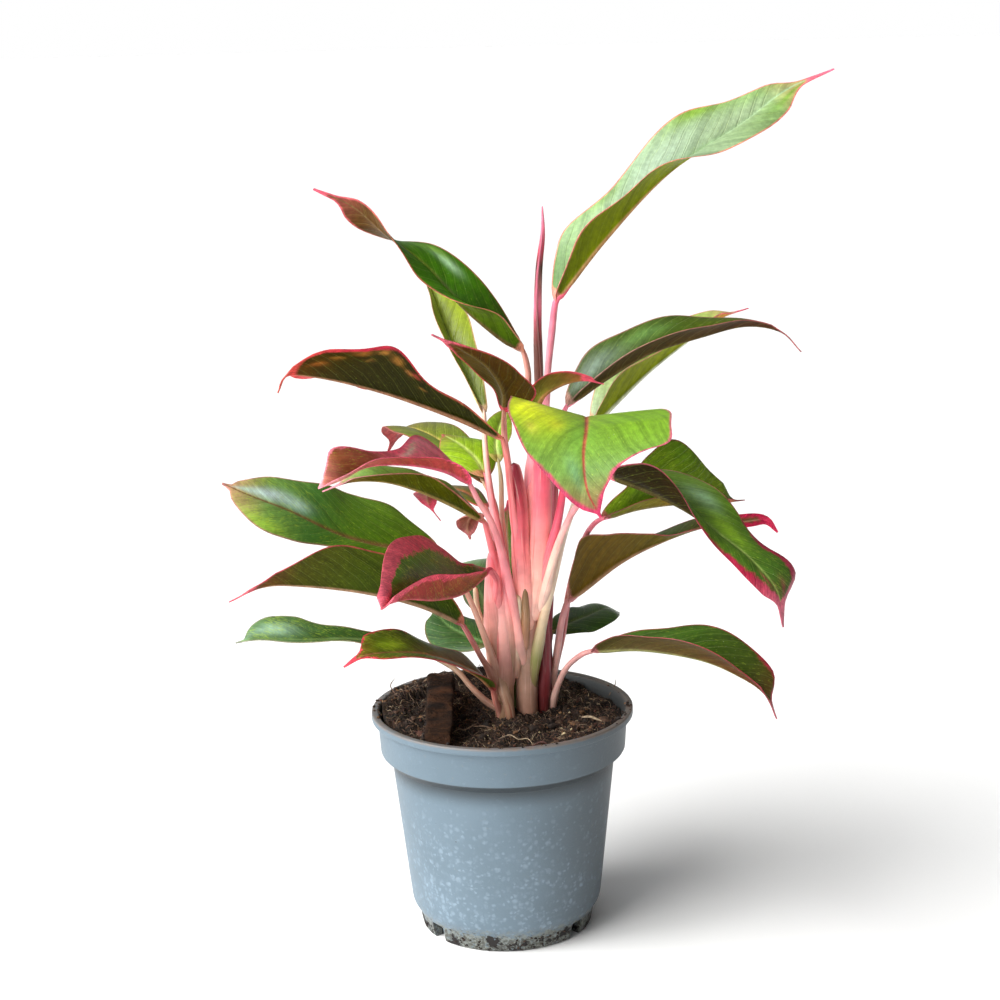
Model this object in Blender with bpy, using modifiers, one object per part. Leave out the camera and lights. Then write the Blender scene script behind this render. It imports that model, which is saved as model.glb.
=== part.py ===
"""Potted Philippine evergreen, modelled in metres with +Z up.

A bushy foliage plant with three pink shoots and thirty-three leaves stands in a round
plastic nursery pot filled with peat. The origin is the centre of the pot's foot on the surface, and
-Y faces the front. Sizes below are in millimetres and are turned into metres when built.
"""
from math import cos, pi, radians, sin

import bpy
from mathutils import Vector

MM = 0.001

# Pot
POT_HEIGHT = 104.0
LIP_RADIUS = 60.0
LIP_DROP = 3.6
COLLAR_TOP_RADIUS = 57.3
COLLAR_BOTTOM_RADIUS = 56.2
COLLAR_BOTTOM = 87.0
BODY_TOP_RADIUS = 51.2
BODY_TOP = 81.0
BODY_FOOT_RADIUS = 43.8
FOOT_RADIUS = 38.6
FOOT_HEIGHT = 8.5
FOOT_THICKNESS = 3.0
FLOOR_DISC_RADIUS = 20.0
WALL = 1.8
POT_STEPS = 48
NOTCH_WIDTH = 8.0
NOTCH_ANGLES = (52.0, 128.0, 232.0, 308.0)
DRAIN_RADIUS = 3.2
DRAIN_CIRCLE = 29.0
DRAIN_COUNT = 6

# Soil
SOIL_GAP = 0.45
SOIL_LEVEL = 97.0
SOIL_RINGS = (54.6, 48.0, 40.0, 31.0, 21.0, 11.0)
HOLE_FLOOR = 78.0
HOLE_GAP = 0.5

# Stems, petioles and blades
STEM_FOOT = 80.0
STEM_FEET = ((11.5, 2, 4.8), (1, -2, 4.1), (22, 8, 2.9))
STALK_GAP = 0.35
BLADE_THICKNESS = 0.8
BLADE_TIP_HALF = 0.5
BLADE_BASE_EXTRA = 0.8
CROSS_STEPS = 4
STEP_LENGTH = 11.0
CURL = -15.0


# Scene and helper functions
def clear_scene():
    for item in list(bpy.data.objects):
        bpy.data.objects.remove(item, do_unlink=True)


def linear(hex_code):
    """Turn an sRGB hex colour into linear RGBA."""
    channels = [int(hex_code[i:i + 2], 16) / 255 for i in (0, 2, 4)]
    return [c / 12.92 if c <= 0.04045 else ((c + 0.055) / 1.055) ** 2.4 for c in channels] + [1.0]


def material(name, hex_code, roughness):
    made = bpy.data.materials.new(name)
    made.use_nodes = True
    shader = made.node_tree.nodes["Principled BSDF"]
    shader.inputs["Base Color"].default_value = linear(hex_code)
    shader.inputs["Roughness"].default_value = roughness
    shader.inputs["Metallic"].default_value = 0.0
    made.diffuse_color = linear(hex_code)
    return made


def collection(name, cutters=False):
    made = bpy.data.collections.new(name)
    bpy.context.scene.collection.children.link(made)
    made.hide_render = cutters
    return made


def place(item, group):
    """Keep an object in one collection only."""
    for old in list(item.users_collection):
        old.objects.unlink(item)
    group.objects.link(item)
    if group.hide_render:
        item.hide_render = True
        item.display_type = 'WIRE'


def only(item):
    bpy.ops.object.select_all(action='DESELECT')
    item.select_set(True)
    bpy.context.view_layer.objects.active = item


def apply_modifiers(item):
    only(item)
    for modifier in list(item.modifiers):
        bpy.ops.object.modifier_apply(modifier=modifier.name)


def finish(item, name, finish_material):
    item.name = name
    item.data.name = name
    item.data.materials.clear()
    item.data.materials.append(finish_material)
    place(item, parts)
    return item


def combine(item, others, operation):
    """Join or cut an object with every object of a collection, then remove those objects."""
    modifier = item.modifiers.new(operation.title(), 'BOOLEAN')
    modifier.operation = operation
    modifier.operand_type = 'COLLECTION'
    modifier.collection = others
    modifier.solver = 'EXACT'
    apply_modifiers(item)
    for other in list(others.objects):
        bpy.data.objects.remove(other, do_unlink=True)


def turned(name, profile, steps):
    """Spin a closed outline of (radius, height) points about the Z axis."""
    mesh = bpy.data.meshes.new(name)
    points = [(radius * MM, 0.0, height * MM) for radius, height in profile]
    edges = [(i, i + 1) for i in range(len(points) - 1)]
    mesh.from_pydata(points, edges, [])
    item = bpy.data.objects.new(name, mesh)
    bpy.context.scene.collection.objects.link(item)
    screw = item.modifiers.new("Screw", 'SCREW')
    screw.steps = steps
    screw.render_steps = steps
    screw.use_merge_vertices = True
    screw.merge_threshold = 0.00001
    screw.use_normal_calculate = True
    apply_modifiers(item)
    only(item)
    bpy.ops.object.mode_set(mode='EDIT')
    bpy.ops.mesh.select_all(action='SELECT')
    bpy.ops.mesh.normals_make_consistent(inside=False)
    bpy.ops.object.mode_set(mode='OBJECT')
    return item


def peg(x, y, radius, low, high, sides=20):
    """An upright cylinder between two heights."""
    bpy.ops.mesh.primitive_cylinder_add(
        vertices=sides, radius=radius * MM, depth=(high - low) * MM,
        location=(x * MM, y * MM, (low + high) / 2 * MM))
    return bpy.context.active_object


# Smooth runs of values
def through(values, s):
    """Smooth curve through evenly spaced numbers or vectors, with s from 0 to 1."""
    last = len(values) - 1
    if last == 0:
        return values[0]
    x = s * last
    i = min(int(x), last - 1)
    t = x - i
    b = values[i]
    c = values[i + 1]
    a = values[i - 1] if i > 0 else b * 2 - c
    d = values[i + 2] if i + 2 <= last else c * 2 - b
    return (b * 2 + (c - a) * t + (a * 2 - b * 5 + c * 4 - d) * t ** 2
            + (b * 3 - a - c * 3 + d) * t ** 3) * 0.5


def even_path(points, steps):
    """Points at even distances along the smooth curve through the given ones."""
    knots = [Vector(point) for point in points]
    fine = [through(knots, i / 200) for i in range(201)]
    run = [0.0]
    for before, after in zip(fine, fine[1:]):
        run.append(run[-1] + (after - before).length)
    path = []
    k = 0
    for i in range(steps + 1):
        target = run[-1] * i / steps
        while k < 199 and run[k + 1] < target:
            k += 1
        part = (target - run[k]) / (run[k + 1] - run[k])
        path.append(fine[k].lerp(fine[k + 1], part))
    return path


# Pot
def build_pot():
    inner_foot = FOOT_RADIUS - FOOT_THICKNESS
    outline = [
        (0.0, WALL),
        (FLOOR_DISC_RADIUS - WALL, WALL),
        (FLOOR_DISC_RADIUS, FOOT_HEIGHT + WALL),
        (BODY_FOOT_RADIUS - 4.0, FOOT_HEIGHT + WALL),
        (BODY_FOOT_RADIUS - WALL, FOOT_HEIGHT + WALL + 2.5),
        (BODY_TOP_RADIUS - WALL, BODY_TOP),
        (COLLAR_BOTTOM_RADIUS - WALL, COLLAR_BOTTOM),
        (COLLAR_TOP_RADIUS - WALL, POT_HEIGHT - LIP_DROP),
        (COLLAR_TOP_RADIUS - WALL + 0.6, POT_HEIGHT - 0.5),
        (COLLAR_TOP_RADIUS - WALL + 1.3, POT_HEIGHT),
        (LIP_RADIUS - 0.7, POT_HEIGHT),
        (LIP_RADIUS, POT_HEIGHT - 0.7),
        (LIP_RADIUS, POT_HEIGHT - LIP_DROP + 0.6),
        (LIP_RADIUS - 0.6, POT_HEIGHT - LIP_DROP),
        (COLLAR_TOP_RADIUS, POT_HEIGHT - LIP_DROP),
        (COLLAR_BOTTOM_RADIUS, COLLAR_BOTTOM),
        (BODY_TOP_RADIUS + 0.4, BODY_TOP),
        (BODY_TOP_RADIUS, BODY_TOP - 0.6),
        (BODY_FOOT_RADIUS, 14.0),
        (BODY_FOOT_RADIUS - 0.9, 10.4),
        (FOOT_RADIUS + 2.4, FOOT_HEIGHT),
        (FOOT_RADIUS + 0.6, 1.2),
        (FOOT_RADIUS - 0.6, 0.0),
        (inner_foot, 0.0),
        (inner_foot, FOOT_HEIGHT),
        (FLOOR_DISC_RADIUS + WALL, FOOT_HEIGHT),
        (FLOOR_DISC_RADIUS, 0.0),
        (0.0, 0.0),
    ]
    pot = turned("pot", outline, POT_STEPS)
    for angle in NOTCH_ANGLES:
        turn = radians(angle - 90.0)
        reach = FOOT_RADIUS
        bpy.ops.mesh.primitive_cube_add(
            size=1.0,
            location=(cos(turn) * reach * MM, sin(turn) * reach * MM, 0.5 * (FOOT_HEIGHT - 2.2) * MM),
            rotation=(0.0, 0.0, turn))
        notch = bpy.context.active_object
        notch.scale = (14.0 * MM, NOTCH_WIDTH * MM, (FOOT_HEIGHT + 1.4) * MM)
        place(notch, cutters)
    for i in range(DRAIN_COUNT):
        turn = 2 * pi * i / DRAIN_COUNT
        drain = peg(cos(turn) * DRAIN_CIRCLE, sin(turn) * DRAIN_CIRCLE, DRAIN_RADIUS,
                    FOOT_HEIGHT - 3.0, FOOT_HEIGHT + WALL + 3.0, 12)
        place(drain, cutters)
    combine(pot, cutters, 'DIFFERENCE')
    return finish(pot, "pot", POT_PLASTIC)


# Soil
def soil_height(x, y):
    """Height of the peat: heaped up at the back left, lower at the front and right."""
    reach = (x * x + y * y) ** 0.5 / LIP_RADIUS
    heap = 5.5 * max(0.0, min(1.0, (y - x * 0.9 + 10.0) / 60.0)) * reach
    mound = 1.8 * max(0.0, 1.0 - reach * 1.6)
    ridge = 4.0 * max(0.0, 1.0 - abs(x + 29.0) / 8.0) * max(0.0, 1.0 - abs(y + 8.0) / 38.0)
    lumps = 0.9 * sin(x * 0.21 + 1.0) * cos(y * 0.17) + 0.6 * sin(x * 0.43 - y * 0.37)
    return SOIL_LEVEL + heap + mound + ridge + lumps * min(1.0, reach * 1.5)


def build_soil():
    gap = SOIL_GAP
    outline = [
        (0.0, WALL + gap),
        (FLOOR_DISC_RADIUS - WALL - 0.8, WALL + gap),
        (FLOOR_DISC_RADIUS - 0.5, FOOT_HEIGHT + WALL + gap),
        (BODY_FOOT_RADIUS - 4.3, FOOT_HEIGHT + WALL + gap),
        (BODY_FOOT_RADIUS - WALL - gap, FOOT_HEIGHT + WALL + 2.6 + gap),
        (BODY_TOP_RADIUS - WALL - gap, BODY_TOP + 0.3),
        (COLLAR_BOTTOM_RADIUS - WALL - gap, COLLAR_BOTTOM + 0.3),
    ]
    outline += [(radius, SOIL_LEVEL) for radius in SOIL_RINGS]
    outline.append((0.0, SOIL_LEVEL))
    soil = turned("soil", outline, POT_STEPS)
    for vertex in soil.data.vertices:
        if vertex.co.z > (SOIL_LEVEL - 0.1) * MM:
            vertex.co.z = soil_height(vertex.co.x / MM, vertex.co.y / MM) * MM
    for x, y, radius in STEM_FEET:
        place(peg(x, y, radius + HOLE_GAP, HOLE_FLOOR, POT_HEIGHT + 20.0), cutters)
    combine(soil, cutters, 'DIFFERENCE')
    return finish(soil, "soil", PEAT)


# Stems and petioles
def tube(points, radii, end_direction=None, resolution=2, sides=1):
    """A tapering round stalk through the given points, turned into a closed mesh."""
    curve = bpy.data.curves.new("stalk", 'CURVE')
    curve.dimensions = '3D'
    curve.resolution_u = resolution
    curve.render_resolution_u = 0
    curve.bevel_depth = MM
    curve.bevel_resolution = sides
    curve.use_fill_caps = True
    spline = curve.splines.new('BEZIER')
    spline.bezier_points.add(len(points) - 1)
    places = [Vector(point) * MM for point in points]
    last = len(places) - 1
    for i, knot in enumerate(spline.bezier_points):
        knot.co = places[i]
        knot.radius = through([float(r) for r in radii], i / last)
        before = places[max(i - 1, 0)]
        after = places[min(i + 1, last)]
        along = (after - before).normalized()
        if i == 0 and end_direction is not None:
            along = Vector(end_direction).normalized()
        back = (places[i] - before).length / 3
        ahead = (after - places[i]).length / 3
        knot.handle_left_type = 'FREE'
        knot.handle_right_type = 'FREE'
        knot.handle_left = places[i] - along * (back or ahead)
        knot.handle_right = places[i] + along * (ahead or back)
    item = bpy.data.objects.new("stalk", curve)
    bpy.context.scene.collection.objects.link(item)
    depsgraph = bpy.context.evaluated_depsgraph_get()
    mesh = bpy.data.meshes.new_from_object(item.evaluated_get(depsgraph))
    solid = bpy.data.objects.new("stalk", mesh)
    solid.matrix_world = item.matrix_world
    bpy.context.scene.collection.objects.link(solid)
    bpy.data.objects.remove(item, do_unlink=True)
    only(solid)
    bpy.ops.object.mode_set(mode='EDIT')
    bpy.ops.mesh.select_all(action='SELECT')
    bpy.ops.mesh.remove_doubles(threshold=0.000001)
    bpy.ops.mesh.normals_make_consistent(inside=False)
    bpy.ops.object.mode_set(mode='OBJECT')
    return solid


def petiole(leaf, points, radii):
    """A leaf stalk that starts just under its blade and runs down into the shoot."""
    rib = LEAVES[leaf]["rib"]
    base = Vector(rib[0])
    outward = (even_path(rib, 24)[1] - base).normalized()
    start = base - outward * STALK_GAP
    return tube([start] + list(points), radii, -outward)


def shoot(name, stem, others):
    """One stem with its sheaths and leaf stalks grown together into a single body."""
    body = tube(*stem, resolution=3, sides=3)
    for item in others:
        place(item, joined)
    combine(body, joined, 'UNION')
    return finish(body, name, PINK_STEM)


# Leaves
LEAVES = {}


def leaf(name, rib, up, left, left_fold, right, right_fold, wave=(0, 1, 0), curl=(CURL, CURL)):
    """Note one blade: the run of its midrib, the way its upper side faces, the half widths
    from base to tip on either side of the rib, and how far each half is folded up in degrees."""
    LEAVES[name] = {
        "rib": rib, "up": [Vector(v) for v in up],
        "half": ([float(w) for w in left], [float(w) for w in right]),
        "fold": ([float(a) for a in left_fold], [float(a) for a in right_fold]),
        "wave": wave, "curl": curl}


def half_width(widths, s):
    """Half width of a blade at s, nothing at either end and round at the base."""
    width = through([0.0] + widths + [0.0], s)
    stations = len(widths) + 1
    if s < 1.0 / stations:
        width = max(width, widths[0] * (s * stations) ** 0.7)
    return max(width, 0.0)


def blade_point(spec, path, i, s, v):
    """Place of the blade's point at s along the rib and v across it, from -1 to 1."""
    before = path[max(i - 1, 0)]
    after = path[min(i + 1, len(path) - 1)]
    along = (after - before).normalized()
    up = through(spec["up"], s)
    up = (up - along * up.dot(along)).normalized()
    out = along.cross(up)
    side = 0 if v < 0 else 1
    a = abs(v)
    widths = spec["half"][side]
    width = half_width(widths, s) + BLADE_TIP_HALF + BLADE_BASE_EXTRA * (1 - s) ** 6
    share = width / max(widths)
    fold = through(spec["fold"][side], s) + spec["curl"][side] * (a - 0.5)
    fold = radians(fold * min(1.0, share / 0.3))
    height, waves, phase = spec["wave"]
    shift = phase + (0.4 if v < 0 else 0.0)
    ripple = height * min(1.0, share) * a * a * sin(2 * pi * (waves * s + shift))
    across = width * a * cos(fold) * (-1 if v < 0 else 1)
    return path[i] + out * across + up * (width * a * sin(fold) + ripple)


def build_leaf(name, spec, leaf_material):
    """A grid laid along the midrib, split into triangles and given its thickness."""
    knots = [Vector(point) for point in spec["rib"]]
    length = sum((b - a).length for a, b in zip(knots, knots[1:]))
    steps = max(6, min(14, round(length / STEP_LENGTH)))
    path = even_path(spec["rib"], steps)
    bpy.ops.mesh.primitive_grid_add(x_subdivisions=steps, y_subdivisions=CROSS_STEPS, size=1.0)
    blade = bpy.context.active_object
    for vertex in blade.data.vertices:
        s = vertex.co.x + 0.5
        v = vertex.co.y * 2
        vertex.co = blade_point(spec, path, round(s * steps), s, v) * MM
    split = blade.modifiers.new("Triangulate", 'TRIANGULATE')
    split.quad_method = 'FIXED'
    thick = blade.modifiers.new("Solidify", 'SOLIDIFY')
    thick.thickness = BLADE_THICKNESS * MM
    thick.offset = 0.0
    apply_modifiers(blade)
    return finish(blade, name, leaf_material)


# The leaves of the right-hand shoot, from the top down
leaf("leaf_01_tall_right",
     rib=[(28, 4, 289), (51, 12, 316), (80, 26, 343), (114, 40, 363), (135, 48, 377), (158, 54, 386)],
     up=[(-0.6, -0.2, 0.7), (-0.5, -0.3, 0.8), (-0.4, -0.5, 0.7), (-0.4, -0.5, 0.7)],
     left=(17, 13, 19, 17, 7), left_fold=(55, 45, 35, 20),
     right=(10, 11, 11, 11, 8), right_fold=(80, 80, 60, 10, -20, 0), wave=(1, 4, 1.5))
leaf("leaf_03_tall_left",
     rib=[(13, -4, 269), (3, -8, 276), (-14, -14, 292), (-28, -18, 309), (-44, -22, 323),
          (-58, -26, 336), (-74, -30, 344)],
     up=[(0.5, -0.3, 0.8), (0.5, -0.4, 0.7), (0.4, -0.6, 0.6), (0.4, -0.6, 0.6), (0.5, 0.2, 0.8),
         (0.2, 0.9, 0.2), (0.2, 0.9, 0.2)],
     left=(10, 11, 10, 6, 4), left_fold=(80, 80, 40, 5, 0, 0),
     right=(12, 15, 13, 9, 6), right_fold=(50, 40, 20, 5, 0, 0))
leaf("leaf_05_short_left",
     rib=[(4, -13, 244), (4, -24, 255), (-2, -40, 268), (-12, -56, 278), (-25, -70, 287)],
     up=[(0.35, 0.85, 0.4)],
     left=(14, 11, 7, 2), left_fold=(10,), right=(5, 9, 8, 3), right_fold=(10,))
leaf("leaf_06_broad_left",
     rib=[(3, -16, 232), (-15, -27, 243), (-40, -42, 256), (-60, -56, 265), (-76, -64, 270),
          (-85, -68, 271), (-89, -68, 264)],
     up=[(0, 0, 1)],
     left=(5, 8, 16, 20, 18), left_fold=(80, 85, 75, 65, 30),
     right=(8, 12, 14, 12, 7), right_fold=(20, 20, 10, -10))
leaf("leaf_07_arching_right",
     rib=[(32, 0, 243), (49, 4, 254), (70, 8, 265), (93, 12, 271), (113, 14, 275), (129, 14, 272),
          (138, 12, 263)],
     up=[(-0.3, 0, 0.9), (-0.1, -0.1, 1), (0.2, -0.1, 1), (0.4, 0, 0.9)],
     left=(14, 15, 16, 9, 4), left_fold=(70, 50, 30, 20),
     right=(4, 7, 10, 8, 3), right_fold=(70, 60, 50, 50))
leaf("leaf_08_upper_right",
     rib=[(45, 30, 228), (58, 38, 239), (73, 50, 250), (93, 64, 262), (109, 76, 270), (123, 86, 273)],
     up=[(-0.6, -0.3, 0.7), (-0.4, -0.2, 0.8)],
     left=(13, 14, 14, 13, 8), left_fold=(45, 30),
     right=(12, 10, 7, 5, 3), right_fold=(70, 60))
leaf("leaf_09_small_right",
     rib=[(18, -5, 242), (22, -9, 250), (30, -12, 255), (39, -14, 257), (48, -14, 255)],
     up=[(0, 0, 1)],
     left=(5, 7, 6, 3), left_fold=(30,), right=(5, 8, 7, 3), right_fold=(60,))
leaf("leaf_10_broad_front",
     rib=[(36, -34, 238), (38, -58, 249), (37, -84, 249), (35, -100, 241), (36, -110, 229),
          (41, -114, 219)],
     up=[(0, -0.1, 1), (0, -0.3, 1), (0, -0.8, 0.6), (0, -0.9, 0.4)],
     left=(20, 24, 35, 28, 8), left_fold=(0, 0, 5, 0),
     right=(28, 32, 32, 26, 12), right_fold=(22, 15, 5, 0), curl=(0, 0))
leaf("leaf_11_drooping_right",
     rib=[(48, -28, 217), (64, -40, 213), (80, -54, 207), (94, -66, 198), (105, -74, 190),
          (115, -80, 178), (118, -80, 162)],
     up=[(0.1, 0.1, 1), (0.3, 0, 0.9), (0.5, -0.4, 0.8), (0.6, -0.7, 0.5), (0.6, -0.7, 0.5)],
     left=(18, 22, 18, 12, 16), left_fold=(35, 30, 10, 0),
     right=(12, 13, 12, 9, 7), right_fold=(80, 70, 30, 0, 0))
leaf("leaf_21_pink_left",
     rib=[(-12, -14, 212), (-22, -28, 221), (-37, -46, 228), (-53, -62, 231), (-64, -74, 228),
          (-73, -80, 226)],
     up=[(0, 0, 1)],
     left=(6, 8, 8, 8, 6), left_fold=(40,), right=(10, 16, 7, 6, 13), right_fold=(60,))
leaf("leaf_30_back_right",
     rib=[(25, 22, 209), (35, 48, 211), (46, 78, 207), (57, 108, 190)],
     up=[(0, 0, 1)],
     left=(14, 22, 20, 10), left_fold=(20,), right=(14, 22, 20, 10), right_fold=(20,))
leaf("leaf_33_low_back",
     rib=[(13, 14, 146), (14, 40, 154), (16, 72, 150), (18, 100, 134)],
     up=[(0, 0, 1)],
     left=(10, 15, 14, 8), left_fold=(25,), right=(10, 15, 14, 8), right_fold=(25,))

# The leaves of the side shoot at the right
leaf("leaf_12_broad_right",
     rib=[(48, 6, 190), (66, 24, 190), (86, 44, 187), (104, 60, 183), (120, 74, 181)],
     up=[(0, 0, 1)],
     left=(10, 24, 31, 15), left_fold=(75,), right=(5, 7, 6, 4), right_fold=(50,))
leaf("leaf_13_slender_right",
     rib=[(31, 12, 149), (42, 20, 155), (57, 30, 163), (74, 42, 168), (97, 56, 172), (119, 66, 172),
          (130, 72, 171), (136, 72, 165)],
     up=[(0, 0, 1)],
     left=(8, 8, 8, 12, 7), left_fold=(30, 20, 10),
     right=(24, 10, 4, 4, 4), right_fold=(88, 80, 40, 10))
leaf("leaf_14_low_back_right",
     rib=[(24, 22, 132), (33, 34, 133), (43, 50, 132), (52, 68, 130), (59, 84, 123)],
     up=[(0, -0.6, 0.8)],
     left=(8, 9, 9, 6), left_fold=(0,), right=(8, 9, 9, 6), right_fold=(0,))
leaf("leaf_15_low_right",
     rib=[(41, -16, 134), (62, -28, 138), (87, -42, 137), (104, -50, 131), (114, -54, 124),
          (119, -54, 113)],
     up=[(0, 0, 1), (0.3, -0.2, 0.9)],
     left=(8, 12, 18, 16, 11), left_fold=(50, 35),
     right=(11, 14, 18, 15, 5), right_fold=(52, 45))

# The leaves of the left-hand shoot
leaf("leaf_04_narrow_left",
     rib=[(-5, 28, 236), (-12, 40, 250), (-21, 56, 267), (-28, 74, 283), (-32, 86, 295)],
     up=[(0.5, -0.8, 0.2)],
     left=(6, 10, 12, 8), left_fold=(50,), right=(6, 10, 12, 8), right_fold=(50,))
leaf("leaf_16_broad_low_left",
     rib=[(-26, -4, 179), (-44, -10, 182), (-68, -20, 191), (-90, -30, 205), (-107, -36, 214),
          (-118, -38, 220)],
     up=[(-0.1, -0.6, 0.8)],
     left=(6, 6, 8, 13, 13), left_fold=(0,), right=(22, 26, 24, 18, 12), right_fold=(10,))
leaf("leaf_17_pointed_low_left",
     rib=[(-17, -16, 148), (-35, -30, 161), (-58, -46, 172), (-84, -62, 180), (-99, -70, 182),
          (-113, -74, 177)],
     up=[(0, 0, 1)],
     left=(11, 17, 20, 21, 6), left_fold=(75,), right=(10, 14, 12, 8, 4), right_fold=(20,))
leaf("leaf_18_pale_low_left",
     rib=[(-37, 2, 131), (-55, -6, 137), (-70, -12, 141), (-89, -22, 144), (-106, -28, 147),
          (-117, -30, 146)],
     up=[(0, 0, 1)],
     left=(6, 5, 6, 6, 4), left_fold=(12,), right=(6, 6, 8, 13, 12), right_fold=(45,))
leaf("leaf_19_lowest_left",
     rib=[(-4, -10, 115), (-10, -20, 125), (-22, -34, 136), (-35, -50, 145), (-49, -64, 150),
          (-59, -72, 151), (-66, -76, 148)],
     up=[(0, -0.3, 0.95), (-0.2, -0.4, 0.9)],
     left=(8, 9, 8, 6, 6), left_fold=(10,), right=(10, 9, 11, 14, 11), right_fold=(30,))
leaf("leaf_20_folded_front_left",
     rib=[(-4, -16, 173), (-15, -34, 168), (-27, -56, 171), (-38, -76, 177), (-45, -90, 179),
          (-48, -98, 179)],
     up=[(0, 0, 1)],
     left=(10, 14, 15, 14, 8), left_fold=(60,), right=(11, 21, 27, 26, 20), right_fold=(80,))
leaf("leaf_22_arching_left",
     rib=[(-6, -4, 192), (-19, -14, 202), (-34, -26, 212), (-48, -38, 219), (-62, -46, 221),
          (-74, -50, 218)],
     up=[(0, 0, 1)],
     left=(4, 8, 11, 7, 4), left_fold=(45,), right=(13, 14, 13, 10, 6), right_fold=(45,))
leaf("leaf_23_small_hanging_left",
     rib=[(-5, 20, 193), (-17, 38, 197), (-32, 58, 193), (-33, 72, 183), (-28, 76, 174)],
     up=[(0, 0, 1)],
     left=(6, 9, 8, 4), left_fold=(10,), right=(6, 9, 8, 4), right_fold=(10,))
leaf("leaf_24_olive_back_left",
     rib=[(-6, 24, 204), (-19, 46, 214), (-34, 70, 219), (-46, 90, 217), (-54, 102, 203)],
     up=[(0, 0, 1)],
     left=(8, 13, 14, 10), left_fold=(15,), right=(8, 13, 14, 10), right_fold=(15,))
leaf("leaf_25_speckled_left",
     rib=[(-5, 14, 209), (-9, 22, 215), (-16, 32, 220), (-25, 44, 223)],
     up=[(0.3, -0.7, 0.6)],
     left=(8, 12, 12, 7), left_fold=(0,), right=(8, 12, 12, 6), right_fold=(0,))
leaf("leaf_26_small_between",
     rib=[(1, 22, 214), (0, 30, 221), (2, 38, 228), (5, 46, 234)],
     up=[(0, -0.9, 0.4)],
     left=(4, 6, 6, 4), left_fold=(20,), right=(4, 6, 6, 4), right_fold=(20,))
leaf("leaf_27_dark_back_left",
     rib=[(-6, 14, 129), (-16, 26, 130), (-26, 40, 132), (-32, 52, 138)],
     up=[(0, -0.5, 0.8)],
     left=(8, 12, 12, 8), left_fold=(0,), right=(8, 12, 12, 8), right_fold=(0,))
leaf("leaf_28_narrow_back_left",
     rib=[(-6, 8, 142), (-8, 9, 152), (-11, 10, 161), (-13, 11, 168)],
     up=[(0, -0.9, 0.3)],
     left=(4, 7, 7, 4), left_fold=(0,), right=(4, 7, 7, 4), right_fold=(0,))
leaf("leaf_29_small_tip_left",
     rib=[(-7, 10, 191), (-12, 17, 190), (-14, 22, 184), (-13, 25, 177)],
     up=[(0, 0, 1)],
     left=(3, 5, 5, 3), left_fold=(10,), right=(3, 5, 5, 3), right_fold=(10,))
leaf("leaf_31_back_left",
     rib=[(-9, 20, 159), (-18, 44, 157), (-29, 72, 149), (-37, 100, 135)],
     up=[(0, 0, 1)],
     left=(12, 20, 18, 9), left_fold=(15,), right=(12, 20, 18, 9), right_fold=(15,))
leaf("leaf_32_back_middle",
     rib=[(4, 16, 157), (4, 22, 167), (4, 28, 180), (5, 34, 193)],
     up=[(0, -0.9, 0.3)],
     left=(4, 5, 5, 3), left_fold=(0,), right=(4, 5, 5, 3), right_fold=(0,))


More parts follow.
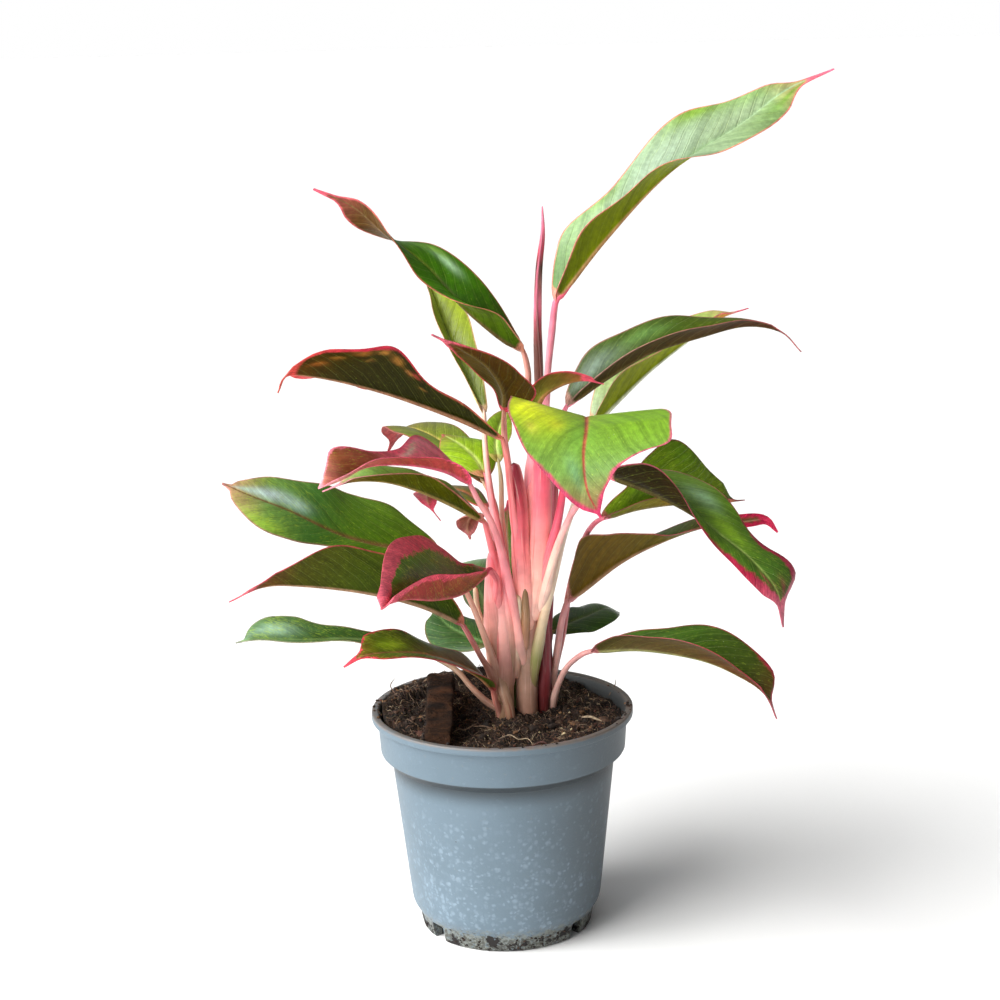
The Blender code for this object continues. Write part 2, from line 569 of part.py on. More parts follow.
# The parts of the plant
def build_right_shoot():
    """The taller shoot with its red sheath, the stalks of its leaves and the spear's stalk."""
    stem = ([(11.5, 2, STEM_FOOT), (11.5, 2, 106), (12, 2, 130), (13, 2, 146), (16, 2, 163),
             (17, 2, 182), (18, 2, 205), (19, 2, 228), (18, 2, 240)],
            (4.8, 4.8, 4.7, 4.6, 6.3, 6.3, 6.0, 5.0, 3.4))
    grown = [
        tube([(12, -1, 145), (11, -2, 159), (10, -2, 178), (10, -2, 197), (9, -2, 210), (8, -2, 216)],
             (3.5, 4.0, 3.8, 3.4, 3.0, 1.6)),
        tube([(7, 5, 112), (7, 5, 126), (7, 5, 140)], (1.8, 1.9, 1.2)),
        tube([(20, 8, 242.6), (19, 5, 232), (18, 2, 220)], (2.0, 2.2, 2.8), (0, 0, -1)),
        petiole("leaf_01_tall_right",
                [(26, 4, 275), (24, 2, 259), (23, 0, 246), (21, 0, 228), (19, 0, 205)],
                (1.6, 1.5, 1.6, 1.9, 2.4, 3.0)),
        petiole("leaf_03_tall_left",
                [(15, -4, 260), (15, -3, 249), (16, -1, 233), (16, 0, 214)],
                (1.4, 1.4, 1.5, 1.9, 2.5)),
        petiole("leaf_05_short_left",
                [(4, -5, 230), (6, -2, 213), (7, -1, 194), (10, 0, 173)],
                (1.4, 1.4, 1.5, 1.7, 2.2)),
        petiole("leaf_06_broad_left",
                [(5, -12, 221), (6, -7, 207), (8, -4, 188), (10, -3, 164)],
                (1.4, 1.5, 1.8, 2.1, 2.8)),
        petiole("leaf_07_arching_right",
                [(29, 0, 235), (25, 0, 214), (23, 1, 191), (20, 2, 167)],
                (1.4, 1.4, 1.8, 2.2, 2.8)),
        petiole("leaf_08_upper_right",
                [(40, 20, 212), (35, 10, 196), (29, 4, 181), (24, -1, 163), (19, -2, 143),
                 (15, -1, 121)],
                (1.3, 1.4, 1.7, 2.1, 2.2, 2.3, 2.8)),
        petiole("leaf_09_small_right",
                [(17, -2, 233), (16, 1, 220)],
                (1.3, 1.6, 2.4)),
        petiole("leaf_10_broad_front",
                [(32, -26, 228), (30, -16, 213), (27, -8, 193), (22, -3, 173), (18, -1, 159)],
                (1.5, 1.5, 1.7, 2.0, 2.4, 2.8)),
        petiole("leaf_11_drooping_right",
                [(42, -24, 212), (37, -18, 204), (31, -12, 193), (25, -7, 176), (20, -3, 156)],
                (1.4, 1.4, 1.5, 1.8, 2.0, 2.4)),
        petiole("leaf_21_pink_left",
                [(-8, -12, 203), (-3, -11, 194), (1, -9, 181), (4, -8, 166), (7, -6, 150), (9, -3, 132)],
                (1.4, 1.5, 1.9, 2.1, 2.0, 1.9, 2.6)),
        petiole("leaf_30_back_right",
                [(23, 15, 202), (20, 8, 185), (17, 4, 167)],
                (1.3, 1.5, 2.0, 2.6)),
        petiole("leaf_33_low_back",
                [(13, 8, 141), (12, 3, 130)],
                (1.3, 1.5, 2.2)),
    ]
    return shoot("right_shoot", stem, grown)


def build_left_shoot():
    """The shorter shoot with the stalks of the leaves at the left."""
    stem = ([(1, -2, STEM_FOOT), (1, -2, 110), (1, -2, 126), (0, -2, 146), (-1, -2, 162), (-1, -1, 175)],
            (4.0, 4.2, 4.6, 5.2, 4.6, 2.8))
    grown = [
        tube([(-1, -4, 123), (1, -5, 113), (3, -5, 106), (4, -5, 101)], (1.6, 1.9, 1.9, 1.8)),
        tube([(-11, 4, 159), (-10, 3, 149), (-7, 1, 140), (-5, -1, 130), (-2, -2, 119)],
             (1.2, 1.3, 1.4, 1.7, 2.4)),
        petiole("leaf_04_narrow_left",
                [(-5, 20, 225), (-4, 13, 212), (-2, 8, 197), (1, 5, 181), (3, 2, 163), (3, 0, 145)],
                (1.3, 1.4, 1.6, 1.9, 1.9, 2.2, 2.6)),
        petiole("leaf_16_broad_low_left",
                [(-19, -9, 169), (-14, -12, 160), (-9, -11, 146), (-5, -8, 133), (-2, -4, 120)],
                (1.2, 1.2, 1.3, 1.5, 1.7, 2.4)),
        petiole("leaf_17_pointed_low_left",
                [(-13, -14, 140), (-9, -11, 131), (-4, -6, 120)],
                (1.3, 1.3, 1.5, 2.4)),
        petiole("leaf_18_pale_low_left",
                [(-28, 2, 126), (-20, 0, 121), (-14, -2, 114), (-7, -3, 107), (0, -3, 102)],
                (1.3, 1.3, 1.3, 1.5, 1.8, 2.4)),
        petiole("leaf_19_lowest_left",
                [(-3, -8, 109), (-1, -4, 102)],
                (1.4, 1.7, 2.2)),
        petiole("leaf_20_folded_front_left",
                [(-1, -9, 166), (-1, -5, 156)],
                (1.6, 2.0, 2.8)),
        petiole("leaf_22_arching_left",
                [(-4, -4, 184), (-2, -3, 173)],
                (1.4, 1.6, 2.4)),
        petiole("leaf_23_small_hanging_left",
                [(-3, 12, 184), (-1, 4, 172), (-1, 0, 162)],
                (1.2, 1.5, 1.8, 2.2)),
        petiole("leaf_24_olive_back_left",
                [(-1, 20, 194), (0, 12, 181), (0, 3, 165), (0, 0, 155)],
                (1.2, 1.3, 1.6, 2.0, 2.2)),
        petiole("leaf_25_speckled_left",
                [(-3, 12, 198), (-1, 7, 185), (0, 3, 172), (0, 0, 160)],
                (1.2, 1.5, 1.8, 2.0, 2.2)),
        petiole("leaf_26_small_between",
                [(2, 19, 206), (2, 14, 193), (3, 9, 178), (4, 4, 158), (3, 1, 148)],
                (1.2, 1.2, 1.3, 1.5, 1.8, 2.0)),
        petiole("leaf_27_dark_back_left",
                [(-4, 10, 125), (-1, 3, 115), (0, 0, 108)],
                (1.2, 1.5, 2.0, 2.2)),
        petiole("leaf_28_narrow_back_left",
                [(-3, 6, 134), (-1, 2, 124), (0, 0, 115)],
                (1.2, 1.5, 2.0, 2.2)),
        petiole("leaf_29_small_tip_left",
                [(-4, 5, 183), (-1, 1, 174), (-1, -1, 166)],
                (1.0, 1.2, 1.6, 1.8)),
        petiole("leaf_31_back_left",
                [(-6, 15, 153), (0, 11, 143), (1, 4, 134), (0, 0, 126)],
                (1.3, 1.5, 1.7, 2.0, 2.2)),
        petiole("leaf_32_back_middle",
                [(4, 10, 145), (3, 4, 133), (1, 0, 124)],
                (1.1, 1.3, 1.8, 2.0)),
    ]
    return shoot("left_shoot", stem, grown)


def build_side_shoot():
    """The small shoot behind at the right, with a maroon sheath and four thin stalks."""
    stem = ([(22, 8, STEM_FOOT), (22, 8, 98), (22, 8, 108)], (2.8, 2.9, 2.4))
    grown = [
        tube([(22, 8, 97), (21, 9, 118), (22, 10, 137), (24, 11, 153)], (2.6, 2.6, 1.9, 1.0)),
        petiole("leaf_12_broad_right",
                [(44, 12, 186), (40, 22, 177), (36, 30, 163), (32, 26, 148), (29, 18, 132),
                 (25, 13, 118), (22, 9, 106)],
                (1.3, 1.3, 1.4, 1.5, 1.5, 1.5, 1.6, 2.0)),
        petiole("leaf_13_slender_right",
                [(28, 10, 139), (26, 9, 127), (23, 9, 110), (22, 8, 99)],
                (1.6, 1.7, 1.7, 2.2, 2.4)),
        petiole("leaf_14_low_back_right",
                [(22, 18, 122), (22, 13, 108), (22, 9, 98)],
                (1.2, 1.3, 1.6, 2.2)),
        petiole("leaf_15_low_right",
                [(36, -12, 131), (30, -4, 123), (26, 2, 113), (23, 7, 101), (22, 8, 94)],
                (1.3, 1.3, 1.4, 1.6, 2.2, 2.4)),
    ]
    return shoot("side_shoot", stem, grown)


def build_spear():
    """The newest leaf, still rolled up and upright between the two tall ones."""
    spear = tube([(20, 8, 243), (20, 8, 258), (20, 8, 281), (21, 8, 303), (23, 8, 319), (23, 8, 331)],
                 (2.0, 1.9, 1.8, 1.7, 1.4, 0.4), (0, 0, 1), sides=2)
    return finish(spear, "leaf_02_rolled_spear", ROLLED_LEAF)


clear_scene()
parts = collection("parts")
cutters = collection("cutters", cutters=True)
joined = collection("joined")

POT_PLASTIC = material("pot_plastic", "8B9DAD", 0.45)
PEAT = material("peat", "2E2119", 0.95)
PINK_STEM = material("pink_stem", "D98E86", 0.4)
ROLLED_LEAF = material("rolled_leaf", "8A4A44", 0.45)
GREEN_LEAF = material("green_leaf", "5E7A2C", 0.4)

build_pot()
build_soil()
build_right_shoot()
build_left_shoot()
build_side_shoot()
build_spear()
for leaf_name, leaf_spec in LEAVES.items():
    build_leaf(leaf_name, leaf_spec, GREEN_LEAF)
for emptied in (cutters, joined):
    bpy.data.collections.remove(emptied)
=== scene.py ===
"""Looks of a potted Philippine evergreen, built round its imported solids, in metres."""
import random
from functools import partial
from math import cos, exp, pi, radians, sin

import bpy
from mathutils import Matrix, Vector, noise


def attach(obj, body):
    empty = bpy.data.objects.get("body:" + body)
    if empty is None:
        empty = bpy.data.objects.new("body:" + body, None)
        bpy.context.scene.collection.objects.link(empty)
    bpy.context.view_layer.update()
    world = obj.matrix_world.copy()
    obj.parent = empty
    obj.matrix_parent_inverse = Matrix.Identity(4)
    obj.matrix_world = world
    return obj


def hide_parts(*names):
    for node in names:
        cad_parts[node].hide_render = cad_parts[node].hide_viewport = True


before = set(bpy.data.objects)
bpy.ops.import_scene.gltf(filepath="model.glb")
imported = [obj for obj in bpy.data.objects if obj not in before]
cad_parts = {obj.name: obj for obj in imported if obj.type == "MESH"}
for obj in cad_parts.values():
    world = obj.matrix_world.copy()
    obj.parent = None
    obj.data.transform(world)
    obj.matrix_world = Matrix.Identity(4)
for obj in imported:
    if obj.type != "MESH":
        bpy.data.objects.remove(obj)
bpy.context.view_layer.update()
random.seed(41)
MM = 0.001

# Camera, fitted to the rim, the collar and the foot of the pot
CAMERA_AIM = (1.3, 0.0, 201.0)
CAMERA_DISTANCE = 0.948
CAMERA_PITCH = 12.9
CAMERA_ROLL = -1.4
CAMERA_LENS = 75.9

# Pot, in millimetres
POT_HEIGHT = 104.0
LIP_RADIUS = 60.0
LIP_DROP = 3.6
COLLAR_TOP_RADIUS = 57.3
COLLAR_BOTTOM_RADIUS = 56.2
COLLAR_BOTTOM = 85.0
BODY_TOP_RADIUS = 51.2
BODY_TOP = 81.0
BODY_FOOT_RADIUS = 43.8
FOOT_RADIUS = 38.6
FOOT_HEIGHT = 8.5
FOOT_THICKNESS = 3.0
FOOT_FLARE = 1.8
FLOOR_DISC_RADIUS = 20.0
WALL = 1.8
POT_STEPS = 144
NOTCH_WIDTH = 8.0
NOTCH_ANGLES = (52.0, 128.0, 232.0, 308.0)
DRAIN_RADIUS = 3.2
DRAIN_CIRCLE = 29.0
DRAIN_COUNT = 6

# Peat
SOIL_LEVEL = 97.0
SOIL_RADIUS = 55.0
SOIL_RINGS = 92
SOIL_STEPS = 250
CLOD = 7.5
SMALL_CLOD = 2.6
LITTER_RADIUS = 54.5
LIP_TREAD = (55.8, 59.2)
BARK_ROWS = 60
BARK_AROUND = 20
BARK_HALF_WIDTH = 5.9
BARK_HALF_DEPTH = 3.2

# Plant
BLADE_HALF_THICKNESS = 0.24
BLADE_TIP_HALF = 0.5
BLADE_BASE_EXTRA = 0.8
CURL = -15.0
HALF_STEPS = 18
ROW_LENGTH = 2.0
RIGHT_HEART = (13.0, 3.0)
LEFT_HEART = (0.0, -1.5)
SIDE_HEART = (22.0, 8.5)

# Settings of nodes that are used again and again
ALL = slice(None)
TIMES = {"operation": 'MULTIPLY'}
TIMES_PLUS = {"operation": 'MULTIPLY_ADD'}
SMOOTH = {"interpolation_type": 'SMOOTHSTEP'}
OVER = {"data_type": 'RGBA'}
SHADE = {"data_type": 'RGBA', "blend_type": 'MULTIPLY'}


# Scene helpers
def deselect():
    bpy.ops.object.select_all(action='DESELECT')


def only(item):
    deselect()
    item.select_set(True)
    bpy.context.view_layer.objects.active = item


def apply_modifiers(item):
    only(item)
    for modifier in list(item.modifiers):
        bpy.ops.object.modifier_apply(modifier=modifier.name)


def edit_all(item, *steps):
    """Run mesh operators on the whole of a piece: each step is an operator and its settings."""
    only(item)
    bpy.ops.object.mode_set(mode='EDIT')
    bpy.ops.mesh.select_all(action='SELECT')
    for operator, settings in steps:
        operator(**settings)
    bpy.ops.object.mode_set(mode='OBJECT')


def close_up(item, reach):
    """Merge points that lie together, as at seams and poles, and turn all faces outwards."""
    edit_all(item, (bpy.ops.mesh.remove_doubles, {"threshold": reach}),
             (bpy.ops.mesh.delete_loose, {}),
             (bpy.ops.mesh.normals_make_consistent, {"inside": False}))


def smooth(item, angle=180):
    """Shade a piece smoothly, but for edges that are sharper than an angle."""
    only(item)
    if angle == 180:
        bpy.ops.object.shade_smooth()
    else:
        bpy.ops.object.shade_smooth_by_angle(angle=radians(angle))


def settle(item):
    """Put a piece's place, turn and size into its mesh."""
    only(item)
    bpy.ops.object.transform_apply(location=True, rotation=True, scale=True)


def join(items, name):
    deselect()
    for item in items:
        item.select_set(True)
    bpy.context.view_layer.objects.active = items[0]
    if len(items) > 1:
        bpy.ops.object.join()
    joined = bpy.context.view_layer.objects.active
    joined.name = name
    joined.data.name = name
    return joined


def grid(rows, columns):
    bpy.ops.mesh.primitive_grid_add(x_subdivisions=rows, y_subdivisions=columns, size=1.0)
    return bpy.context.active_object


def places(item):
    """The points of a new grid, each with its place along and across it, from 0 to 1."""
    for point in item.data.vertices:
        yield point, point.co.x + 0.5, point.co.y + 0.5


def unwrap(mesh, lay):
    """Lay a mesh out flat: lay holds a place in metres for each of its points."""
    sheet = mesh.uv_layers[0]
    for corner in mesh.loops:
        sheet.data[corner.index].uv = lay[corner.vertex_index]


def hand_over(item, name, finishes, slot_name, *nodes):
    """Name a finished piece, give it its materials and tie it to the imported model."""
    item.name = name
    item.data.name = name
    if not item.data.materials:
        for finish in finishes:
            item.data.materials.append(finish)
    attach(item, "root")
    if nodes:
        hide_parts(*nodes)


# Colours and materials
def linear(hex_code):
    """Turn an sRGB hex colour into linear RGBA."""
    channels = [int(hex_code[i:i + 2], 16) / 255 for i in (0, 2, 4)]
    return [c / 12.92 if c <= 0.04045 else ((c + 0.055) / 1.055) ** 2.4 for c in channels] + [1.0]


def tones(hex_codes):
    """Linear colours from hex codes with spaces between them."""
    return [Vector(linear(code)[:3]) for code in hex_codes.split()]


def plug(socket, value):
    """Link an input to another socket, or set it to a plain value."""
    if isinstance(value, bpy.types.NodeSocket):
        socket.id_data.links.new(value, socket)
    else:
        socket.default_value = value


def add(tree, kind, *values, give=0, **named):
    """Add one node, and give back its output of that place or name, or all of them.

    The values go to its inputs in order. Words that start with a capital are inputs by name,
    and the other words are the node's own settings."""
    item = tree.nodes.new("ShaderNode" + kind)
    for key, value in named.items():
        if key[0].islower():
            setattr(item, key, value)
    for key, value in named.items():
        if key[0].isupper():
            plug(item.inputs[key], value)
    for socket, value in zip([socket for socket in item.inputs if socket.enabled], values):
        plug(socket, value)
    if isinstance(give, str):
        return item.outputs[give]
    return [socket for socket in item.outputs if socket.enabled][give]


def new_finish(name):
    """A new material, its shader, and the means to add nodes to it."""
    made = bpy.data.materials.new(name)
    made.use_nodes = True
    return made, made.node_tree.nodes["Principled BSDF"], partial(add, made.node_tree)


def set_shader(shader, **values):
    """Set or link a shader's inputs, named with _ for each space."""
    for key, value in values.items():
        plug(shader.inputs[key.replace("_", " ")], value)


def patches(node, where, scale, low, high, detail=3.0, rough=0.55, distort=0.0, span=(0.0, 1.0)):
    """Cloudy patches: the first of the span where the cloud is thin, the last where thick."""
    cloud = node("TexNoise", where, scale, detail, rough, Distortion=distort)
    return node("MapRange", cloud, low, high, *span, **SMOOTH)


def coat(node, colour, share, strength, hex_code):
    """Lay a tone over a colour, where its share says and as strongly as given."""
    share = node("Math", share, strength, **TIMES)
    return node("Mix", share, colour, linear(hex_code), **OVER)


def shaded(node, colour, factor):
    """Make a colour lighter or darker by a factor."""
    return node("Mix", 1.0, colour, node("CombineColor", factor, factor, factor), **SHADE)


# Smooth runs of values
def through(values, s):
    """Smooth curve through evenly spaced numbers or vectors, with s from 0 to 1."""
    last = len(values) - 1
    if last == 0:
        return values[0]
    x = s * last
    i = min(int(x), last - 1)
    t = x - i
    b = values[i]
    c = values[i + 1]
    a = values[i - 1] if i > 0 else b * 2 - c
    d = values[i + 2] if i + 2 <= last else c * 2 - b
    return (b * 2 + (c - a) * t + (a * 2 - b * 5 + c * 4 - d) * t ** 2
            + (b * 3 - a - c * 3 + d) * t ** 3) * 0.5


def between(values, s):
    """Straight steps between evenly spaced numbers or colours."""
    last = len(values) - 1
    if last == 0:
        return values[0]
    x = max(0.0, min(1.0, s)) * last
    i = min(int(x), last - 1)
    return values[i] * (1 - x + i) + values[i + 1] * (x - i)


def even_path(points, steps, samples=400):
    """Points at even distances along the smooth curve through the given ones."""
    knots = [Vector(point) for point in points]
    fine = [through(knots, i / samples) for i in range(samples + 1)]
    run = [0.0]
    for before, after in zip(fine, fine[1:]):
        run.append(run[-1] + (after - before).length)
    path = []
    k = 0
    for i in range(steps + 1):
        target = run[-1] * i / steps
        while k < samples - 1 and run[k + 1] < target:
            k += 1
        part = (target - run[k]) / (run[k + 1] - run[k])
        path.append(fine[k].lerp(fine[k + 1], part))
    return path, run[-1]


def heading(path, i):
    """Which way a path runs at one of its points."""
    return (path[min(i + 1, len(path) - 1)] - path[max(i - 1, 0)]).normalized()


# Camera, light and floor
def set_camera():
    """The photograph's view: 0.95 m away, looking 12.9 degrees down and leaning 1.4 degrees."""
    pitch = radians(CAMERA_PITCH)
    roll = radians(CAMERA_ROLL)
    ahead = Vector((0, cos(pitch), -sin(pitch)))
    level = Vector((1, 0, 0))
    upward = Vector((0, sin(pitch), cos(pitch)))
    right = level * cos(roll) + upward * sin(roll)
    up = upward * cos(roll) - level * sin(roll)
    data = bpy.data.cameras.new("camera")
    data.sensor_width = 36.0
    data.lens = CAMERA_LENS
    data.clip_start = 0.05
    camera = bpy.data.objects.new("camera", data)
    bpy.context.scene.collection.objects.link(camera)
    place = Vector(CAMERA_AIM) * MM - ahead * CAMERA_DISTANCE
    turn = Matrix((right, up, -ahead)).transposed().to_4x4()
    camera.matrix_world = Matrix.Translation(place) @ turn
    bpy.context.scene.camera = camera


def hang_lamp(name, kind, place, aim, **settings):
    """Hang a lamp at its place, turned to its aim."""
    data = bpy.data.lights.new(name, kind)
    for key, value in settings.items():
        setattr(data, key, value)
    lamp = bpy.data.objects.new(name, data)
    bpy.context.scene.collection.objects.link(lamp)
    lamp.location = place
    lamp.rotation_euler = (Vector(aim) - lamp.location).to_track_quat('-Z', 'Y').to_euler()


def set_light():
    """A wide soft light from the left, as from a window, and a white reflector low in front of
    it, in pale surroundings that darken to the right, with a white backdrop."""
    hang_lamp("window_light", 'SUN', (0, 0, 0), (0.72, 0.40, -0.70), energy=3.7,
              angle=radians(55), color=linear("FFFEFB")[:3])
    hang_lamp("window_pane", 'AREA', (-0.75, -0.25, 0.85), (0, 0, 0.2), shape='RECTANGLE',
              size=0.5, size_y=0.8, energy=5.0)
    hang_lamp("white_reflector", 'AREA', (-0.82, -1.1, 0.2), (0, 0, 0.16), shape='SQUARE',
              size=0.9, energy=13.0)
    world = bpy.data.worlds.new("pale_room")
    bpy.context.scene.world = world
    world.use_nodes = True
    tree = world.node_tree
    node = partial(add, tree)
    x, _, z = node("SeparateXYZ", node("TexCoord", give="Generated"), give=ALL)
    across = node("Math", z, 0.25, node("Math", x, -1.0, **TIMES), **TIMES_PLUS)
    room = tree.nodes["Background"]
    plug(room.inputs["Color"], linear("F8FAFC"))
    plug(room.inputs["Strength"], node("MapRange", across, -0.7, 1.0, 0.06, 0.72, **SMOOTH))
    white = node("Background", Color=linear("FFFFFF"), Strength=1.0)
    seen = node("LightPath", give="Is Camera Ray")
    both = node("MixShader", seen, room.outputs[0], white)
    plug(tree.nodes["World Output"].inputs[0], both)
    bpy.context.scene.view_settings.view_transform = 'Standard'


def build_floor():
    bpy.ops.mesh.primitive_circle_add(vertices=96, radius=30.0, fill_type='NGON')
    ground = bpy.context.active_object
    ground.name = "pale_floor"
    # Painted board is matt and nearly even, with the faintest cloudiness.
    board, shader, node = new_finish("pale_painted_board")
    cloud = node("TexNoise", node("TexCoord", give="Object"), 3.0, 2.0, 0.55)
    colour = node("Mix", cloud, linear("F9F9F9"), linear("FDFDFD"), **OVER)
    set_shader(shader, Base_Color=colour, Roughness=0.9)
    ground.data.materials.append(board)


# Pot
def pot_plastic():
    """Grey-blue polypropylene, injection moulded: satin, scuffed white, with peat on its foot."""
    made, shader, node = new_finish("satin_moulded_polypropylene")
    spot = node("TexCoord", give="Object")
    x, y, height = node("SeparateXYZ", spot, give=ALL)
    cloud = node("TexNoise", spot, 28.0, 3.0, 0.55)
    colour = node("Mix", cloud, linear("53646F"), linear("647683"), **OVER)
    # Painted shade: the right-hand side of the pot is darkened to grey, where it turns away from
    # the light.
    colour = coat(node, colour, node("MapRange", x, -0.006, 0.056, **SMOOTH), 0.72, "3E4447")
    # Lime scuffs are 0.5 to 2 mm flecks, thickest on the lower left of the wall.
    left = node("Math", x, -4.0, 0.52, **TIMES_PLUS)
    low = node("MapRange", height, 0.09, 0.035, **SMOOTH)
    flock = node("Math", node("TexNoise", spot, 60.0, 2.0, 0.55), 1.6, **TIMES)
    where = node("Math", node("Math", left, low, **TIMES), flock, **TIMES)
    haze = node("Math", node("MapRange", where, 0.1, 1.2, **SMOOTH),
                node("TexNoise", spot, 240.0, 3.0, 0.55), **TIMES)
    colour = coat(node, colour, haze, 0.35, "8096A8")
    bent = node("TexNoise", spot, 420.0, 2.0, give="Color")
    bent = node("VectorMath", bent, Scale=0.0022, operation='SCALE')
    bent = node("VectorMath", spot, bent, operation='ADD')
    for scale, strength in ((400.0, 0.24), (620.0, 0.26)):
        reach, tint, _ = node("TexVoronoi", bent, Scale=scale, give=ALL)
        chance = node("Math", where, 0.7, node("SeparateColor", tint), **TIMES_PLUS)
        scuff = node("Math", node("MapRange", reach, 0.74, 0.12, **SMOOTH),
                     node("MapRange", chance, 0.86, 1.3, **SMOOTH), **TIMES)
        colour = coat(node, colour, scuff, strength, "A4B8C8")
    # Fine rubbed lines run round the collar.
    round_about = node("Mapping", spot, Scale=(1.0, 1.0, 9.0))
    rubbed = patches(node, round_about, 160.0, 0.66, 0.72, 4.0, 0.7, 1.2)
    colour = coat(node, colour, rubbed, 0.3, "9DB0BE")
    # Peat dust lies on the top of the lip.
    dusty = node("Math", node("MapRange", height, 0.1026, 0.1036, **SMOOTH),
                 node("TexNoise", spot, 300.0, 3.0, 0.55), **TIMES)
    colour = coat(node, colour, dusty, 1.0, "7A6656")
    # Peat sticks to the lowest 12 mm in grey and black blots, and speckles the rest thinly.
    foot = node("MapRange", height, 0.0155, 0.004, **SMOOTH)
    for scale, detail, rough, lift, least, most, strength, tone in (
            (420.0, 5.0, 0.75, 0.3, 0.6, 0.82, 0.75, "77786C"),
            (640.0, 4.0, 0.75, 0.28, 0.68, 0.84, 0.8, "363229"),
            (105.0, 5.0, 0.7, 0.27, 0.78, 0.81, 1.0, "15100E")):
        blot = node("Math", foot, lift, node("TexNoise", spot, scale, detail, rough), **TIMES_PLUS)
        mud = node("MapRange", blot, least, most, **SMOOTH)
        colour = coat(node, colour, mud, strength, tone)
    colour = coat(node, colour, patches(node, spot, 430.0, 0.765, 0.79, 2.0), 0.8, "3A3630")
    # Painted shade: a dark band on the wall just under the collar, where the collar shades it, and
    # dark cloudy painted shade on the inside of the wall.
    corner = node("Math", node("MapRange", height, 0.071, 0.083, **SMOOTH),
                  node("MapRange", height, 0.0852, 0.0845, **SMOOTH), **TIMES)
    colour = coat(node, colour, corner, 0.9, "1C2225")
    # Painted shade: faces that turn inwards, inside the rim, are darkened in cloudy patches.
    facing_x, facing_y, _ = node("SeparateXYZ", node("NewGeometry", give="Normal"), give=ALL)
    outward = node("Math", facing_x, x, node("Math", facing_y, y, **TIMES), **TIMES_PLUS)
    inside_shade = node("Math", node("MapRange", outward, -0.01, -0.04, **SMOOTH),
                 node("Math", cloud, 0.5, 0.5, **TIMES_PLUS), **TIMES)
    colour = coat(node, colour, inside_shade, 1.0, "34322F")
    rough = node("Math", node("Math", scuff, mud, operation='MAXIMUM'), 0.3, 0.42, **TIMES_PLUS)
    rough = node("Math", cloud, 0.08, rough, **TIMES_PLUS)
    skin = node("Math", mud, 1.5, node("TexNoise", spot, 900.0, 2.0, 0.55), **TIMES_PLUS)
    set_shader(shader, Base_Color=colour, Roughness=rough, IOR=1.49,
               Normal=node("Bump", Height=skin, Distance=0.00018, Strength=0.5))
    return made


def rounded(corners, turns=3):
    """An outline whose corners (radius, height, rounding) are turned into short arcs."""
    outline = []
    count = len(corners)
    for i, (x, z, reach) in enumerate(corners):
        here = Vector((x, z))
        if reach == 0:
            outline.append(here)
            continue
        before = Vector(corners[i - 1][:2]) - here
        after = Vector(corners[(i + 1) % count][:2]) - here
        start = here + before.normalized() * min(reach, before.length * 0.45)
        end = here + after.normalized() * min(reach, after.length * 0.45)
        for k in range(turns + 1):
            t = k / turns
            outline.append(start * (1 - t) ** 2 + here * (2 * t * (1 - t)) + end * t ** 2)
    return outline


def spin(outline, steps):
    """Turn a closed outline, drawn in the XZ plane, once round the Z axis."""
    bpy.ops.mesh.primitive_circle_add(vertices=len(outline), radius=0.01)
    item = bpy.context.active_object
    for vertex, point in zip(item.data.vertices, outline):
        vertex.co = (point[0] * MM, 0.0, point[1] * MM)
    edit_all(item, (bpy.ops.mesh.spin, {"steps": steps, "angle": 2 * pi, "center": (0, 0, 0),
                                        "axis": (0, 0, 1)}))
    close_up(item, 0.000004)
    return item


def notch_cutter(angle):
    """A block with softened edges, which cuts one notch into the foot."""
    turn = radians(angle - 90.0)
    bpy.ops.mesh.primitive_cube_add(
        size=1.0, rotation=(0, 0, turn),
        location=(cos(turn) * FOOT_RADIUS * MM, sin(turn) * FOOT_RADIUS * MM,
                  0.5 * (FOOT_HEIGHT - 2.2) * MM))
    notch = bpy.context.active_object
    notch.scale = (14.0 * MM, NOTCH_WIDTH * MM, (FOOT_HEIGHT + 1.4) * MM)
    settle(notch)
    soften = notch.modifiers.new("soften", 'BEVEL')
    soften.width = 1.3 * MM
    soften.segments = 3
    apply_modifiers(notch)
    return notch


def drain_cutter(turn):
    """A round cutter for one drain hole in the floor."""
    bpy.ops.mesh.primitive_cylinder_add(
        vertices=32, radius=DRAIN_RADIUS * MM, depth=8 * MM,
        location=(cos(turn) * DRAIN_CIRCLE * MM, sin(turn) * DRAIN_CIRCLE * MM,
                  (FOOT_HEIGHT + WALL / 2) * MM))
    drain = bpy.context.active_object
    settle(drain)
    return drain


